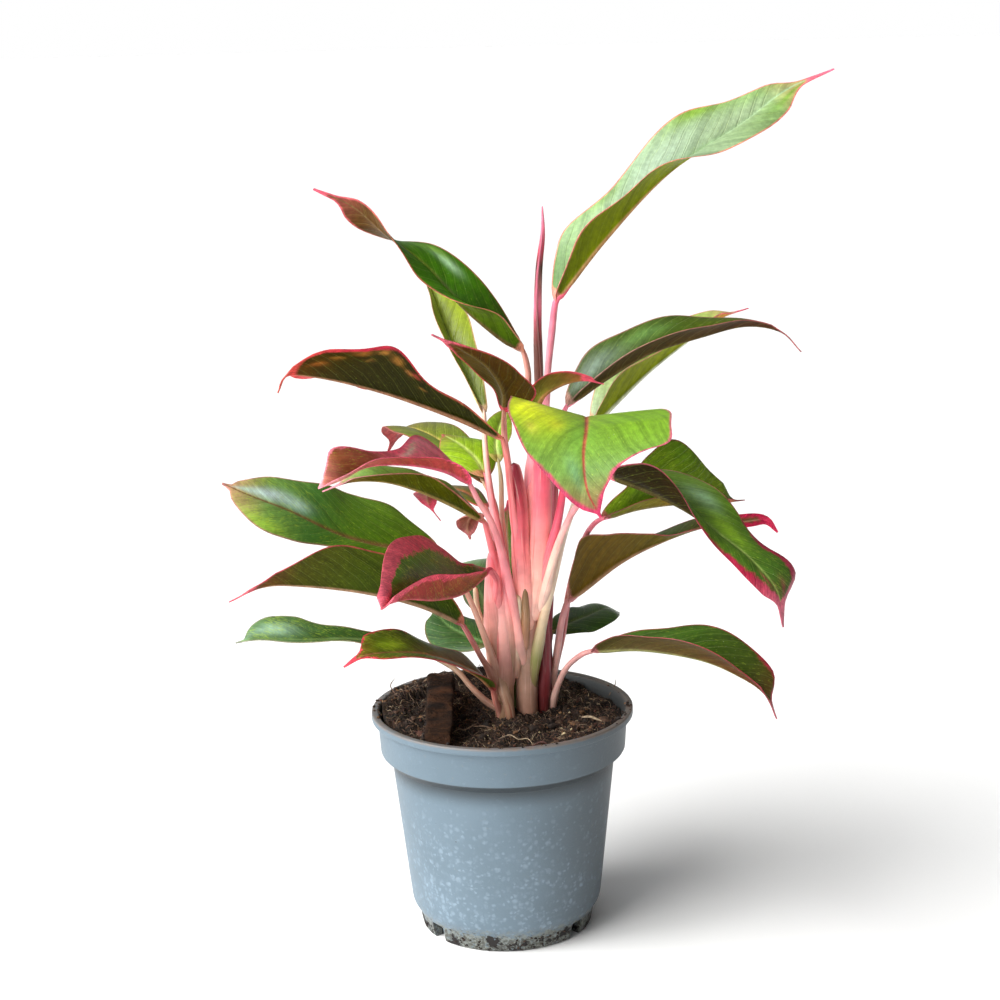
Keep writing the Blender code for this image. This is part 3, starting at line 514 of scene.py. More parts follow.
def build_pot():
    """The moulded pot: rolled lip, deep collar, tapering wall and a notched foot ring."""
    inner_foot = FOOT_RADIUS - FOOT_THICKNESS
    corners = [
        (0.0, WALL, 0), (FLOOR_DISC_RADIUS - WALL, WALL, 1.0),
        (FLOOR_DISC_RADIUS, FOOT_HEIGHT + WALL, 1.0),
        (BODY_FOOT_RADIUS - 4.0, FOOT_HEIGHT + WALL, 1.5),
        (BODY_FOOT_RADIUS - WALL, FOOT_HEIGHT + WALL + 2.5, 1.5),
        (BODY_TOP_RADIUS - WALL, BODY_TOP, 1.0),
        (COLLAR_BOTTOM_RADIUS - WALL, COLLAR_BOTTOM, 1.5),
        (COLLAR_TOP_RADIUS - WALL, POT_HEIGHT - LIP_DROP, 1.0),
        (COLLAR_TOP_RADIUS - WALL + 1.3, POT_HEIGHT, 1.0), (LIP_RADIUS, POT_HEIGHT, 0.7),
        (LIP_RADIUS, POT_HEIGHT - LIP_DROP + 0.3, 0.5),
        (COLLAR_TOP_RADIUS, POT_HEIGHT - LIP_DROP, 0.8),
        (COLLAR_BOTTOM_RADIUS + 0.05, COLLAR_BOTTOM, 0.9),
        (BODY_TOP_RADIUS + 0.4, BODY_TOP + 0.1, 0.9), (BODY_TOP_RADIUS, BODY_TOP - 0.6, 0.4),
        (BODY_FOOT_RADIUS, 12.5, 3.0), (FOOT_RADIUS + 2.4, FOOT_HEIGHT, 1.6),
        (FOOT_RADIUS + 0.6, 0.0, 1.2), (inner_foot, 0.0, 0.4), (inner_foot, FOOT_HEIGHT, 0.4),
        (FLOOR_DISC_RADIUS + WALL, FOOT_HEIGHT, 0.4), (FLOOR_DISC_RADIUS, 0.0, 0.4),
        (0.0, 0.0, 0)]
    pot = spin(rounded(corners), POT_STEPS)
    cutters = [notch_cutter(angle) for angle in NOTCH_ANGLES]
    cutters += [drain_cutter(2 * pi * i / DRAIN_COUNT) for i in range(DRAIN_COUNT)]
    tool = join(cutters, "pot_cutters")
    cut = pot.modifiers.new("cut", 'BOOLEAN')
    cut.operation = 'DIFFERENCE'
    cut.solver = 'EXACT'
    cut.object = tool
    apply_modifiers(pot)
    bpy.data.objects.remove(tool, do_unlink=True)
    smooth(pot, 38)
    hand_over(pot, "moulded_pot", [pot_plastic()], "pot_plastic", "pot")


# Peat
def clamp(value, low=0.0, high=1.0):
    return max(low, min(high, value))


def soil_height(x, y):
    """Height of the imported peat: heaped up at the back left, lower at the front and right."""
    reach = (x * x + y * y) ** 0.5 / LIP_RADIUS
    heap = 5.5 * clamp((y - x * 0.9 + 10.0) / 60.0) * reach
    mound = 1.8 * max(0.0, 1.0 - reach * 1.6)
    ridge = 4.0 * max(0.0, 1.0 - abs(x + 29.0) / 8.0) * max(0.0, 1.0 - abs(y + 8.0) / 38.0)
    lumps = 0.9 * sin(x * 0.21 + 1.0) * cos(y * 0.17) + 0.6 * sin(x * 0.43 - y * 0.37)
    return SOIL_LEVEL + heap + mound + ridge + lumps * min(1.0, reach * 1.5)


def cell_edge(x, y, size, layer):
    """How far a point lies inside its clod: nothing in the creases between clods."""
    near = noise.voronoi(Vector((x / size, y / size, layer)))[0]
    return min(1.0, (near[1] - near[0]) * 2.2)


def ripple(x, y, size, layer):
    return noise.noise(Vector((x / size, y / size, layer)))


def peat_top(x, y):
    """Height of the loose surface: clods of 8 and 3 mm over soft heaps."""
    wander = ripple(x, y, 14, 3.0)
    twist = ripple(x, y, 5, 8.0)
    clods = 1.5 * cell_edge(x + twist * 4, y + wander * 5, CLOD, 1.0) ** 0.7
    crumbs = 0.8 * cell_edge(x + twist * 2, y, SMALL_CLOD, 5.0)
    fine = 0.6 * ripple(x, y, 1.3, 2.0) + 0.3 * ripple(x, y, 0.6, 6.0)
    reach = (x * x + y * y) ** 0.5 / SOIL_RADIUS
    bank = 4.2 * clamp((y - 0.9 * x + 4.0) / 50.0) * reach ** 2
    loose = 0.6 + clods + crumbs + fine + 1.7 * wander + bank
    return soil_height(x, y) + max(0.25, loose * (1.0 - 0.45 * max(0.0, reach - 0.85) / 0.15))


def peat_finish():
    """Damp peat: crumbly dark brown fibre, matt, with rust and straw coloured bits."""
    made, shader, node = new_finish("damp_fibrous_peat")
    spot = node("TexCoord", give="Object")
    body = patches(node, spot, 160.0, 0.36, 0.66, 5.0, 0.65)
    colour = node("Mix", body, linear("100A08"), linear("33231A"), **OVER)
    # Strands are 0.3 mm across and pulled out over several millimetres, three ways.
    strands = []
    for turn, pull, scale, least, most, detail, bend, strength, tone in (
            ((0.3, 0.5, 0.9), (1.0, 5.0, 1.6), 330.0, 0.6, 0.72, 3.0, 1.5, 0.75, "6A4E38"),
            ((0.9, 0.2, 2.2), (1.0, 6.0, 2.0), 300.0, 0.64, 0.74, 3.0, 1.0, 0.6, "7C6450"),
            ((0.2, 0.9, 1.1), (1.0, 9.0, 3.0), 420.0, 0.62, 0.7, 2.0, 2.0, 0.8, "8A7458")):
        pulled = node("Mapping", spot, Rotation=turn, Scale=pull)
        strands.append(patches(node, pulled, scale, least, most, detail, 0.6, bend))
        colour = coat(node, colour, strands[-1], strength, tone)
    colour = coat(node, colour, patches(node, spot, 520.0, 0.72, 0.77, 2.0), 0.7, "A08868")
    rise = node("Math", strands[0], 0.5, node("TexNoise", spot, 700.0, 4.0, 0.7), **TIMES_PLUS)
    set_shader(shader, Base_Color=colour, Roughness=0.88, IOR=1.4,
               Normal=node("Bump", Height=rise, Distance=0.0008, Strength=0.9))
    return made


def crumb_finish():
    """Loose crumbs and broken fibre, each in its own brown."""
    made, shader, node = new_finish("loose_peat_crumb")
    spot = node("TexCoord", give="Object")
    shade = patches(node, spot, 900.0, 0.3, 0.7, span=(0.55, 1.25))
    rise = node("TexNoise", spot, 1500.0, 2.0, 0.55)
    set_shader(shader, Base_Color=shaded(node, node("Attribute", attribute_name="tone"), shade),
               Roughness=0.85, Normal=node("Bump", Height=rise, Distance=0.0003, Strength=0.6))
    return made


def bark_finish():
    """A flake of old bark: woody layers across its length, dry on top and dark in the cracks."""
    made, shader, node = new_finish("weathered_bark")
    spot = node("TexCoord", give="Object")
    layers = node("Mapping", spot, Scale=(0.7, 1.6, 1.6))
    band = patches(node, layers, 90.0, 0.34, 0.7, 6.0, 0.7, 0.4)
    worn = patches(node, spot, 300.0, 0.56, 0.72, 5.0, 0.75)
    colour = node("Mix", band, linear("120A06"), linear("462B1A"), **OVER)
    colour = coat(node, colour, worn, 0.5, "7A5636")
    rise = node("Math", band, node("Math", worn, 0.4, **TIMES), operation='ADD')
    set_shader(shader, Base_Color=colour, Roughness=0.9, Specular_IOR_Level=0.2,
               Normal=node("Bump", Height=rise, Distance=0.0014, Strength=1.0))
    return made


def build_peat_surface():
    """The crumbly top of the peat, with an edge that is turned down inside the pot."""
    peat = grid(SOIL_RINGS, SOIL_STEPS)
    for point, u, v in places(peat):
        radius = SOIL_RADIUS * u
        turn = 2 * pi * v
        x = radius * cos(turn)
        y = radius * sin(turn)
        point.co = (x * MM, y * MM, peat_top(x, y) * MM)
    close_up(peat, 0.000002)
    if peat.data.polygons[200].normal.z < 0:
        edit_all(peat, (bpy.ops.mesh.flip_normals, {}))
    only(peat)
    bpy.ops.object.mode_set(mode='EDIT')
    bpy.ops.mesh.select_all(action='DESELECT')
    bpy.ops.mesh.select_non_manifold(extend=False)
    bpy.ops.mesh.extrude_region_move(TRANSFORM_OT_translate={"value": (0, 0, -3.0 * MM)})
    bpy.ops.object.mode_set(mode='OBJECT')
    thick = peat.modifiers.new("depth", 'SOLIDIFY')
    thick.thickness = 0.2 * MM
    thick.offset = -1.0
    apply_modifiers(peat)
    smooth(peat)
    hand_over(peat, "peat_surface", [peat_finish()], "peat")


CRUMB_TONES = tones("1C130E 2A1D15 38271C 4A3323 63452C 7A5A3C 4E2A1C")
CRUMB_WEIGHTS = (5, 6, 5, 4, 3, 1.4, 1.2)


def crumb_tone():
    return random.choices(CRUMB_TONES, CRUMB_WEIGHTS)[0]


def any_turn():
    return random.uniform(0, 2 * pi)


def crumb_shapes(count, fineness):
    """A few irregular crumbs, squashed and dented, to be copied."""
    shapes = []
    for k in range(count):
        bpy.ops.mesh.primitive_ico_sphere_add(subdivisions=fineness, radius=1.0)
        item = bpy.context.active_object
        stretch = (random.uniform(0.8, 1.6), random.uniform(0.6, 1.1), random.uniform(0.5, 0.9))
        points = []
        for vertex in item.data.vertices:
            dent = 1.0 + 0.55 * noise.noise(vertex.co * 1.4 + Vector((k * 7.3, 0, 0)))
            points.append(Vector([vertex.co[i] * stretch[i] * dent for i in range(3)]))
        faces = [tuple(face.vertices) for face in item.data.polygons]
        shapes.append((points, faces))
        bpy.data.objects.remove(item, do_unlink=True)
    return shapes


class Litter:
    """Loose bits gathered into one mesh, each with its own tone."""

    def __init__(self):
        self.points = []
        self.faces = []
        self.tones = []

    def put(self, point, tone):
        self.points.append(point * MM)
        self.tones.append(tone)

    def drop(self, shape, place, size, tone):
        """Drop a copy of a shape, turned at random and mostly level."""
        points, faces = shape
        lean = random.uniform(-0.7, 0.7), random.uniform(-0.7, 0.7), any_turn()
        turned = (Matrix.Rotation(lean[2], 3, 'Z') @ Matrix.Rotation(lean[1], 3, 'Y')
                  @ Matrix.Rotation(lean[0], 3, 'X'))
        first = len(self.points)
        for point in points:
            self.put(turned @ (point * size) + Vector(place), tone)
        self.faces += [tuple(first + i for i in face) for face in faces]

    def strand(self, route, radius, tone, sides=3, steps=8):
        """A thread or twig along a route, thinned to a point at both ends."""
        path = even_path(route, steps)[0]
        first = len(self.points)
        for i, point in enumerate(path):
            along = heading(path, i)
            across = along.cross(Vector((0.3, 0.5, 0.8))).normalized()
            over = along.cross(across)
            thin = radius * (0.25 + 0.75 * min(1.0, 4 * min(i, steps - i) / steps))
            for k in range(sides):
                turn = 2 * pi * k / sides
                self.put(point + (across * cos(turn) + over * sin(turn)) * thin, tone)
        for i in range(steps):
            for k in range(sides):
                a = first + i * sides + k
                b = first + i * sides + (k + 1) % sides
                self.faces.append((a, b, b + sides, a + sides))
        self.faces.append(tuple(first + k for k in reversed(range(sides))))
        self.faces.append(tuple(first + steps * sides + k for k in range(sides)))

    def finish(self, name, finish):
        mesh = bpy.data.meshes.new(name)
        mesh.from_pydata(self.points, [], self.faces)
        layer = mesh.color_attributes.new("tone", 'FLOAT_COLOR', 'POINT')
        layer.data.foreach_set("color", [c for tone in self.tones for c in (*tone, 1.0)])
        item = bpy.data.objects.new(name, mesh)
        bpy.context.scene.collection.objects.link(item)
        edit_all(item, (bpy.ops.mesh.normals_make_consistent, {"inside": False}))
        smooth(item, 50)
        hand_over(item, name, [finish], "peat")


def on_peat(radius, turn, lift):
    x = radius * cos(turn)
    y = radius * sin(turn)
    return Vector((x, y, peat_top(x, y) + lift))


def notch_gap(turn):
    """How many degrees a turn is away from the nearest notch in the foot."""
    return min(abs((turn * 180 / pi + 90 - angle + 180) % 360 - 180) for angle in NOTCH_ANGLES)


def scatter_crumbs(finish):
    """Crumbs from dust to 5 mm clods over the peat, and a few on the rim and round the foot."""
    small = crumb_shapes(7, 1)
    large = crumb_shapes(6, 2)
    heap = Litter()
    for _ in range(2600):
        size = 0.25 + 0.75 * random.random() ** 2.5
        place = on_peat(SOIL_RADIUS * random.random() ** 0.5 * 0.985, any_turn(), size * 0.2)
        tone = crumb_tone()
        heap.drop(random.choice(small), place, size, tone)
    for _ in range(70):
        size = 1.0 + 1.3 * random.random() ** 2
        place = on_peat(51.5 * random.random() ** 0.5, any_turn(), size * 0.1)
        heap.drop(random.choice(large), place, size, crumb_tone())
    # Crumbs lie on the lip where the peat was filled over it: left, right and a few in front.
    for middle, spread, count in ((178, 10, 22), (-14, 9, 24), (-83, 12, 12), (140, 25, 16),
                                  (40, 50, 10)):
        for _ in range(count):
            turn = radians(random.gauss(middle, spread))
            size = 0.25 + 0.75 * random.random() ** 2
            radius = random.uniform(*LIP_TREAD)
            place = (radius * cos(turn), radius * sin(turn), POT_HEIGHT + size * 0.35)
            heap.drop(random.choice(small), place, size, crumb_tone())
    # Others stick to the outside of the foot, between its notches.
    for _ in range(90):
        middle = random.choice((-118, -104, -80, -72, -60, -45, 80, 140, 200))
        turn = radians(middle + random.gauss(0, 5))
        if notch_gap(turn) < 8:
            continue
        height = random.uniform(0.6, 6.5)
        radius = FOOT_RADIUS + 0.6 + FOOT_FLARE * height / FOOT_HEIGHT
        heap.drop(random.choice(small), (radius * cos(turn), radius * sin(turn), height),
                  random.uniform(0.3, 0.8), CRUMB_TONES[random.randint(0, 2)])
    heap.finish("peat_crumbs", finish)


def scatter_fibres(finish):
    """Root threads, moss fibre and twigs lying on the peat, with a few longer curls."""
    straw = tones("64483A 7C6450 A8947A 44302A 52302A 7C6450 38281F 8A745C")
    brown, tan, cream, _, rust = straw[:5]
    heap = Litter()
    for _ in range(2300):
        radius = SOIL_RADIUS * random.random() ** 0.5 * 0.96
        route = [on_peat(radius, any_turn(), 0.3)]
        turn = any_turn()
        reach = random.uniform(1.2, 5.5)
        bend = random.uniform(-0.9, 0.9)
        for _ in range(3):
            turn += bend * 0.6
            step = route[-1] + Vector((cos(turn), sin(turn), 0)) * reach / 3
            if step.xy.length > LITTER_RADIUS:
                step.xy = step.xy.normalized() * LITTER_RADIUS
            step.z = peat_top(step.x, step.y) + random.uniform(0.0, 1.2)
            route.append(step)
        heap.strand(route, random.uniform(0.06, 0.15), random.choice(straw), steps=6)
    for radius, tone, route in (
            (0.2, cream, ((-2, -33, 99.5), (3, -35, 102), (7, -40, 101.5), (11, -42, 102.5),
                          (14, -47, 100))),
            (0.22, tan, ((-14, -20, 101), (-8, -24, 102.5), (-3, -26, 101))),
            (0.3, tan, ((-27, -36, 100), (-20, -29, 103), (-17, -27, 102), (-11, -20, 103))),
            (0.55, cream, ((36, -9, 100.5), (40, -12, 101.6), (45, -15, 100.5))),
            (0.35, rust, ((12, -46, 100), (17, -51, 104), (20, -53, 103))),
            (0.3, rust, ((22, -44, 100), (16, -50, 103), (15, -55, 104.5))),
            (0.25, brown, ((-49, 12, 106), (-52, 18, 109), (-50, 24, 111))),
            (0.25, tan, ((50, 22, 100), (53, 24, 104), (54, 27, 107))),
            (0.5, brown, ((30, 30, 102), (24, 38, 105), (20, 46, 104))),
            (0.5, tan, ((-40, 30, 104), (-32, 36, 108), (-22, 38, 105)))):
        heap.strand(route, radius, tone, sides=6, steps=14)
    heap.finish("peat_fibres", finish)


def scatter_pale_bits(finish):
    """Cream wood chips and grains of lime, one large one at the front right."""
    shapes = crumb_shapes(4, 2)
    cream = tones("D9C9A0 C8B48C B9A27C")
    heap = Litter()
    spots = [(40.0, -34.0, 2.2), (27.0, -29.0, 1.2), (31.0, -20.0, 0.9), (6.0, -50.0, 0.7),
             (-38.0, -24.0, 0.8)]
    spots += [(random.uniform(-36, 36), random.uniform(-36, 36), random.uniform(0.4, 0.8))
              for _ in range(16)]
    for x, y, size in spots:
        heap.drop(random.choice(shapes), (x, y, peat_top(x, y) + size * 0.4), size,
                  random.choice(cream))
    heap.finish("pale_chips", finish)


def squarish(value):
    """Make a sine squarer, so that a round bar becomes a plank with soft edges."""
    return abs(value) ** 0.35 * (1 if value > 0 else -1)


def build_bark():
    """The flake of bark half buried at the left, lying over the heap from front to back."""
    path = even_path(((-28.5, -45, 98), (-28.5, -37, 102.5), (-28, -22, 108), (-28, -4, 111.5),
                      (-28, 12, 112.5), (-28, 21, 108), (-28, 25, 100)), BARK_ROWS)[0]
    bark = grid(BARK_ROWS, BARK_AROUND)
    across = Vector((1, 0, 0))
    for point, u, v in places(bark):
        i = round(u * BARK_ROWS)
        over = across.cross(heading(path, i))
        flat = squarish(cos(2 * pi * v))
        deep = squarish(sin(2 * pi * v))
        end = 0.0 if i in (0, BARK_ROWS) else 1.0
        place = path[i] + (across * flat * BARK_HALF_WIDTH + over * deep * BARK_HALF_DEPTH) * end
        rough = sum(noise.noise(place / size) * rise
                    for size, rise in ((7.0, 1.5), (2.2, 0.5), (0.9, 0.2)))
        place += (across * flat * 0.8 + over * deep) * rough * end
        point.co = place * MM
    close_up(bark, 0.00001)
    smooth(bark, 50)
    hand_over(bark, "bark_flake", [bark_finish()], "peat")


def build_peat():
    build_peat_surface()
    finish = crumb_finish()
    scatter_crumbs(finish)
    scatter_fibres(finish)
    scatter_pale_bits(finish)
    build_bark()
    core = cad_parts["soil"]
    core.data.materials.clear()
    core.data.materials.append(peat_finish())


# Stalk and leaf finishes
def stalk_finish():
    """Fleshy leaf stalk: smooth waxy skin, glossy, with fine streaks that run along it."""
    made, shader, node = new_finish("waxy_leaf_stalk")
    spot = node("TexCoord", give="UV")
    tone = node("Attribute", attribute_name="upper")
    # Streaks are 0.5 mm wide and some 30 mm long.
    drawn = node("Mapping", spot, Scale=(0.03, 1.0, 1.0))
    streak = node("TexNoise", drawn, 1400.0, 3.0, 0.6)
    dark = node("MapRange", streak, 0.36, 0.2, **SMOOTH)
    light = node("MapRange", streak, 0.55, 0.75, **SMOOTH)
    deep = node("Mix", 1.0, tone, linear("C85060"), **SHADE)
    colour = node("Mix", node("Math", dark, 0.7, **TIMES), tone, deep, **OVER)
    colour = coat(node, colour, light, 0.4, "FAD8CC")
    # Broader stripes, 1.5 mm wide, run deeper red between paler ones.
    stripe = node("Math", patches(node, drawn, 420.0, 0.44, 0.3, 2.0), 0.6, **TIMES)
    colour = node("Mix", stripe, colour, deep, **OVER)
    colour = shaded(node, colour, patches(node, spot, 120.0, 0.3, 0.7, span=(0.86, 1.1)))
    set_shader(shader, Base_Color=colour, Roughness=0.36, IOR=1.42, Subsurface_Weight=0.15,
               Subsurface_Radius=(1.0, 0.35, 0.25), Subsurface_Scale=0.0015,
               Normal=node("Bump", Height=streak, Distance=0.00025, Strength=0.5))
    return made


def leaf_finish(name, side, gloss, shine, pleats, bloom, speckled):
    """Waxy Philippine evergreen leaf: green blade, red margin, veins that sweep to the tip.
    The broad colours are painted on the blade; this adds what is finer than 2 mm."""
    made, shader, node = new_finish(name)
    spot = node("UVMap", uv_map="UVMap")
    x, y, _ = node("SeparateXYZ", spot, give=ALL)
    off_rib = node("Math", y, operation='ABSOLUTE')
    ground = node("Attribute", attribute_name=side)
    rim = node("Attribute", attribute_name="rim")
    marks, _, _, veined = node("Attribute", attribute_name="marks", give=ALL)
    blush, flecks, margin = node("SeparateColor", marks, give=ALL)
    pleated = node("Math", veined, pleats, **TIMES)
    wander = node("TexNoise", spot, 55.0, 2.0, 0.55)
    # Side veins leave the midrib every 8 mm and sweep forward, nearly 2 mm for each mm out.
    lean = node("Math", off_rib, -14.0, -1.6, **TIMES_PLUS)
    run = node("Math", x, node("Math", off_rib, lean, **TIMES), operation='ADD')
    run = node("Math", wander, 0.006, run, **TIMES_PLUS)
    vein, thin = [
        node("MapRange", node("Math", node("Math", run, 1 / apart, **TIMES), 0.5,
                              operation='PINGPONG'), width, 0.0, **SMOOTH)
        for apart, width in ((0.008, 0.09), (0.0021, 0.3))]
    along_vein = node("CombineXYZ", run, node("Math", y, 0.22, **TIMES))
    streak = node("TexNoise", along_vein, 520.0, 3.0, 0.6)
    cloud = patches(node, along_vein, 130.0, 0.3, 0.7, 4.0, span=(0.76, 1.22))
    coarse = node("TexNoise", spot, 420.0, 3.0, 0.65)
    cloud = node("Math", cloud, node("MapRange", coarse, 0.3, 0.7, 0.84, 1.12, **SMOOTH), **TIMES)
    colour = shaded(node, ground, cloud)
    lifted = node("Mix", 0.3, colour, linear("CCDC70"), **OVER)
    for line in (vein, node("Math", thin, 0.25, **TIMES)):
        colour = node("Mix", node("Math", line, pleated, **TIMES), colour, lifted, **OVER)
    # Flecks are fine yellow-green grains, 0.3 to 1 mm across, gathered in loose clouds.
    sown = node("Math", flecks, patches(node, spot, 75.0, 0.35, 0.65, 2.0), **TIMES)
    grain_way = node("CombineXYZ", run, node("Math", y, 0.7, **TIMES))
    grit = node("TexNoise", grain_way, 1050.0, 2.0, 0.7)
    fleck = node("MapRange", node("Math", sown, 0.22, grit, **TIMES_PLUS), 0.61, 0.75, **SMOOTH)
    colour = node("Mix", node("Math", fleck, speckled, **TIMES), colour,
                  node("Mix", 0.7, colour, linear("BCD844"), **OVER), **OVER)
    # The red runs in from the margin and breaks up into grains where it stops.
    torn = node("Math", flecks, 1.5, 0.12, **TIMES_PLUS)
    ragged = node("Math", node("Math", coarse, 0.5, operation='SUBTRACT'), torn, blush,
                  **TIMES_PLUS)
    ragged = node("Math", node("Math", wander, 0.5, operation='SUBTRACT'), 0.5, ragged,
                  **TIMES_PLUS)
    blotch = node("Math", cloud, node("MapRange", grit, 0.3, 0.7, 0.72, 1.25, **SMOOTH), **TIMES)
    rim = shaded(node, rim, blotch)
    colour = node("Mix", node("MapRange", ragged, 0.38, 0.62, **SMOOTH), colour, rim, **OVER)
    colour = node("Mix", node("MapRange", margin, 0.0, 0.5, **SMOOTH), rim, colour, **OVER)
    dust = patches(node, spot, 1500.0, 0.74, 0.78, 1.0)
    colour = coat(node, colour, dust, bloom, "DDE6DC")
    furrow = node("Math", thin, -0.12, node("Math", vein, -0.55, **TIMES), **TIMES_PLUS)
    furrow = node("Math", streak, 0.6, node("Math", furrow, veined, **TIMES), **TIMES_PLUS)
    set_shader(shader, Base_Color=colour, IOR=1.45, Specular_IOR_Level=shine,
               Roughness=node("Math", streak, 0.16, gloss, **TIMES_PLUS),
               Normal=node("Bump", Height=furrow, Distance=0.0003, Strength=0.6))
    return made


# Stalks
def stalk(route, radii, colours, wide=1.0, around=14, step=2.2, flank=None):
    """A round or flattened stalk along a route, closed and rounded at both ends. Its colours
    run from the first point of the route to the last, and a sheath's flanks have their own."""
    length = even_path(route, 40)[1]
    steps = max(10, round(length / step))
    path = even_path(route, steps)[0]
    shades = tones(colours)
    flank_tone = tones(flank)[0] if flank else None
    rows = steps + 4
    item = grid(rows, around)
    layer = item.data.color_attributes.new("upper", 'FLOAT_COLOR', 'POINT')
    seed = random.uniform(0, 50)
    lay = []
    for k, (point, u, v) in enumerate(places(item)):
        row = round(u * rows)
        turn = 2 * pi * v
        i = max(0, min(steps, row - 2))
        s = i / steps
        # The first and last two rows draw in to close the rounded ends.
        to_end = min(row, rows - row)
        cap = (0.0, 0.55, 0.88, 1.0)[min(3, to_end)]
        along = heading(path, i)
        front = Vector((0, -1, 0))
        front = (front - along * front.dot(along)).normalized()
        side = along.cross(front)
        radius = through(radii, s) * (1.0 + 0.05 * noise.noise(Vector((s * 9, seed, 0))))
        tuck = max(0, 2 - to_end) * 0.35 * radius * (-1 if row < 2 else 1)
        out = side * cos(turn) * wide + front * sin(turn) / wide ** 0.5
        point.co = (path[i] + along * tuck + out * radius * cap) * MM
        shade = between(shades, s)
        if flank:
            shade = shade.lerp(flank_tone, 0.75 * abs(cos(turn)) ** 5)
        layer.data[k].color = (*shade, 1.0)
        lay.append((s * length * MM, turn * radius * MM + seed))
    unwrap(item.data, lay)
    close_up(item, 0.000003)
    smooth(item)
    return item


def petiole(spec):
    """A leaf stalk that runs on for a little way under the midrib of its blade, and whose foot
    sinks into the heart of the shoot."""
    path = even_path(spec["rib"], 40)[0]
    up = spec["up"][0].normalized()
    under = [path[3] - up * 0.5, path[1] - up * 0.35, path[0]]
    girth = spec["girth"]
    heart = spec["heart"]
    last = spec["stalk"][-1]
    foot = [((last[0] + heart[0]) / 2, (last[1] + heart[1]) / 2, last[2] - 9),
            (*heart, last[2] - 18)]
    return stalk([*under, *spec["stalk"], *foot],
                 [girth[0] * 0.35, girth[0] * 0.85, *girth, girth[-1] * 0.8, girth[-1] * 0.6],
                 spec["stalk_tones"])


# Leaves
LEAVES = {}


def leaf(name, heart, rib, widths, folds, upper, under, rim, stalk, girth, stalk_tones,
         up=((0, 0, 1),), wave=(0, 1, 0), curl=CURL, midrib="C98A78", under_rib=None,
         band=(0.0,), under_band=None, flecks=(0.0,), tip=0.93, drip=0.84, root=4.0, veins=1.0,
         spots=(), under_spots=()):
    """Note one leaf. Runs of values go from the base of the blade to its tip.

    heart: where its stalk ends, in the middle of its shoot
    rib, up: the run of the midrib in mm, and the way the upper side faces
    widths, folds: half widths in mm and folds upwards in degrees, left and right of the rib
    wave, curl: height, count and phase of the ripples, and how the margin curls in degrees
    upper, under, rim: colours of both faces and of the red margin
    midrib, under_rib: colours of the midrib above and below
    band, under_band: how many mm the red runs in from the margin, above and below
    flecks, veins: how flecked it is, and how strongly its veins show
    tip, drip: how far along the blade the red tip starts, and where it narrows to its drip tip
    root: how many mm at the foot of the blade are red
    spots, under_spots: soft spots, each with its place along and across the blade, its size,
    its colour and its strength; the pale grey-green spots on some upper faces are painted
    sheen, a painted highlight where the light glances off the wax
    stalk, girth, stalk_tones: the run of its stalk down to the shoot, its radii and colours"""
    def toned(items):
        return [(*place, tones(tone)[0], strength) for *place, tone, strength in items]

    LEAVES[name] = {
        "heart": heart, "rib": rib, "up": [Vector(way) for way in up], "widths": widths,
        "folds": folds, "wave": wave, "curl": curl, "upper": tones(upper), "under": tones(under),
        "rim": tones(rim), "midrib": tones(midrib)[0], "under_rib": tones(under_rib or midrib)[0],
        "band": band, "under_band": under_band or band, "flecks": flecks, "tip": tip,
        "drip": drip, "root": root, "veins": veins, "spots": toned(spots),
        "under_spots": toned(under_spots), "stalk": stalk, "girth": girth,
        "stalk_tones": stalk_tones}


def half_width(widths, s):
    """Half width of a blade at s, nothing at either end and round at the base."""
    width = through((0.0, *widths, 0.0), s)
    stations = len(widths) + 1
    if s < 1.0 / stations:
        width = max(width, widths[0] * (s * stations) ** 0.7)
    return max(width, 0.0)


def blade_frame(spec, path, i, s):
    """Directions out to the right of the rib and up through the blade."""
    along = heading(path, i)
    up = through(spec["up"], s)
    up = (up - along * up.dot(along)).normalized()
    return along.cross(up), up


def blade_point(spec, here, out, up, s, v, seed):
    """Place of the blade's point at s along the rib and v across it, and its half width there."""
    side = 0 if v < 0 else 1
    a = abs(v)
    widths = spec["widths"][side % len(spec["widths"])]
    folds = spec["folds"][side % len(spec["folds"])]
    into_tip = clamp(1.9 * (s - spec["drip"]) / (1.0 - spec["drip"]))
    narrowed = 1.0 - 0.72 * into_tip ** 2 * (3 - 2 * into_tip)
    width = half_width(widths, s) * narrowed + BLADE_TIP_HALF + BLADE_BASE_EXTRA * (1 - s) ** 6
    share = width / max(widths)
    fold = through(folds, s) + spec["curl"] * (a - 0.5)
    fold = radians(fold * min(1.0, share / 0.3))
    height, waves, phase = spec["wave"]
    shift = phase + (0.4 if v < 0 else 0.0)
    rippled = height * min(1.0, share) * a * a * sin(2 * pi * (waves * s + shift))
    # The living margin is never quite even.
    uneven = noise.noise(Vector((s * 5.0, seed, v * 0.6))) * 1.5 * min(1.0, share) * a * a
    across = width * a * cos(fold) * (-1 if v < 0 else 1)
    return here + out * across + up * (width * a * sin(fold) + rippled + uneven), width


def blade_tone(base, spots, rib_tone, s, v, rib_share):
    """Colour of a face at a point, with its soft spots, some of them painted sheen, and its
    midrib.
    """
    tone = between(base, s)
    for place_s, place_v, size, spot_tone, strength in spots:
        gap = ((s - place_s) / size) ** 2 + ((v - place_v) / (size * 2.2)) ** 2
        tone = tone.lerp(spot_tone, min(1.0, strength * exp(-gap * 2.0)))
    return tone.lerp(rib_tone, rib_share)


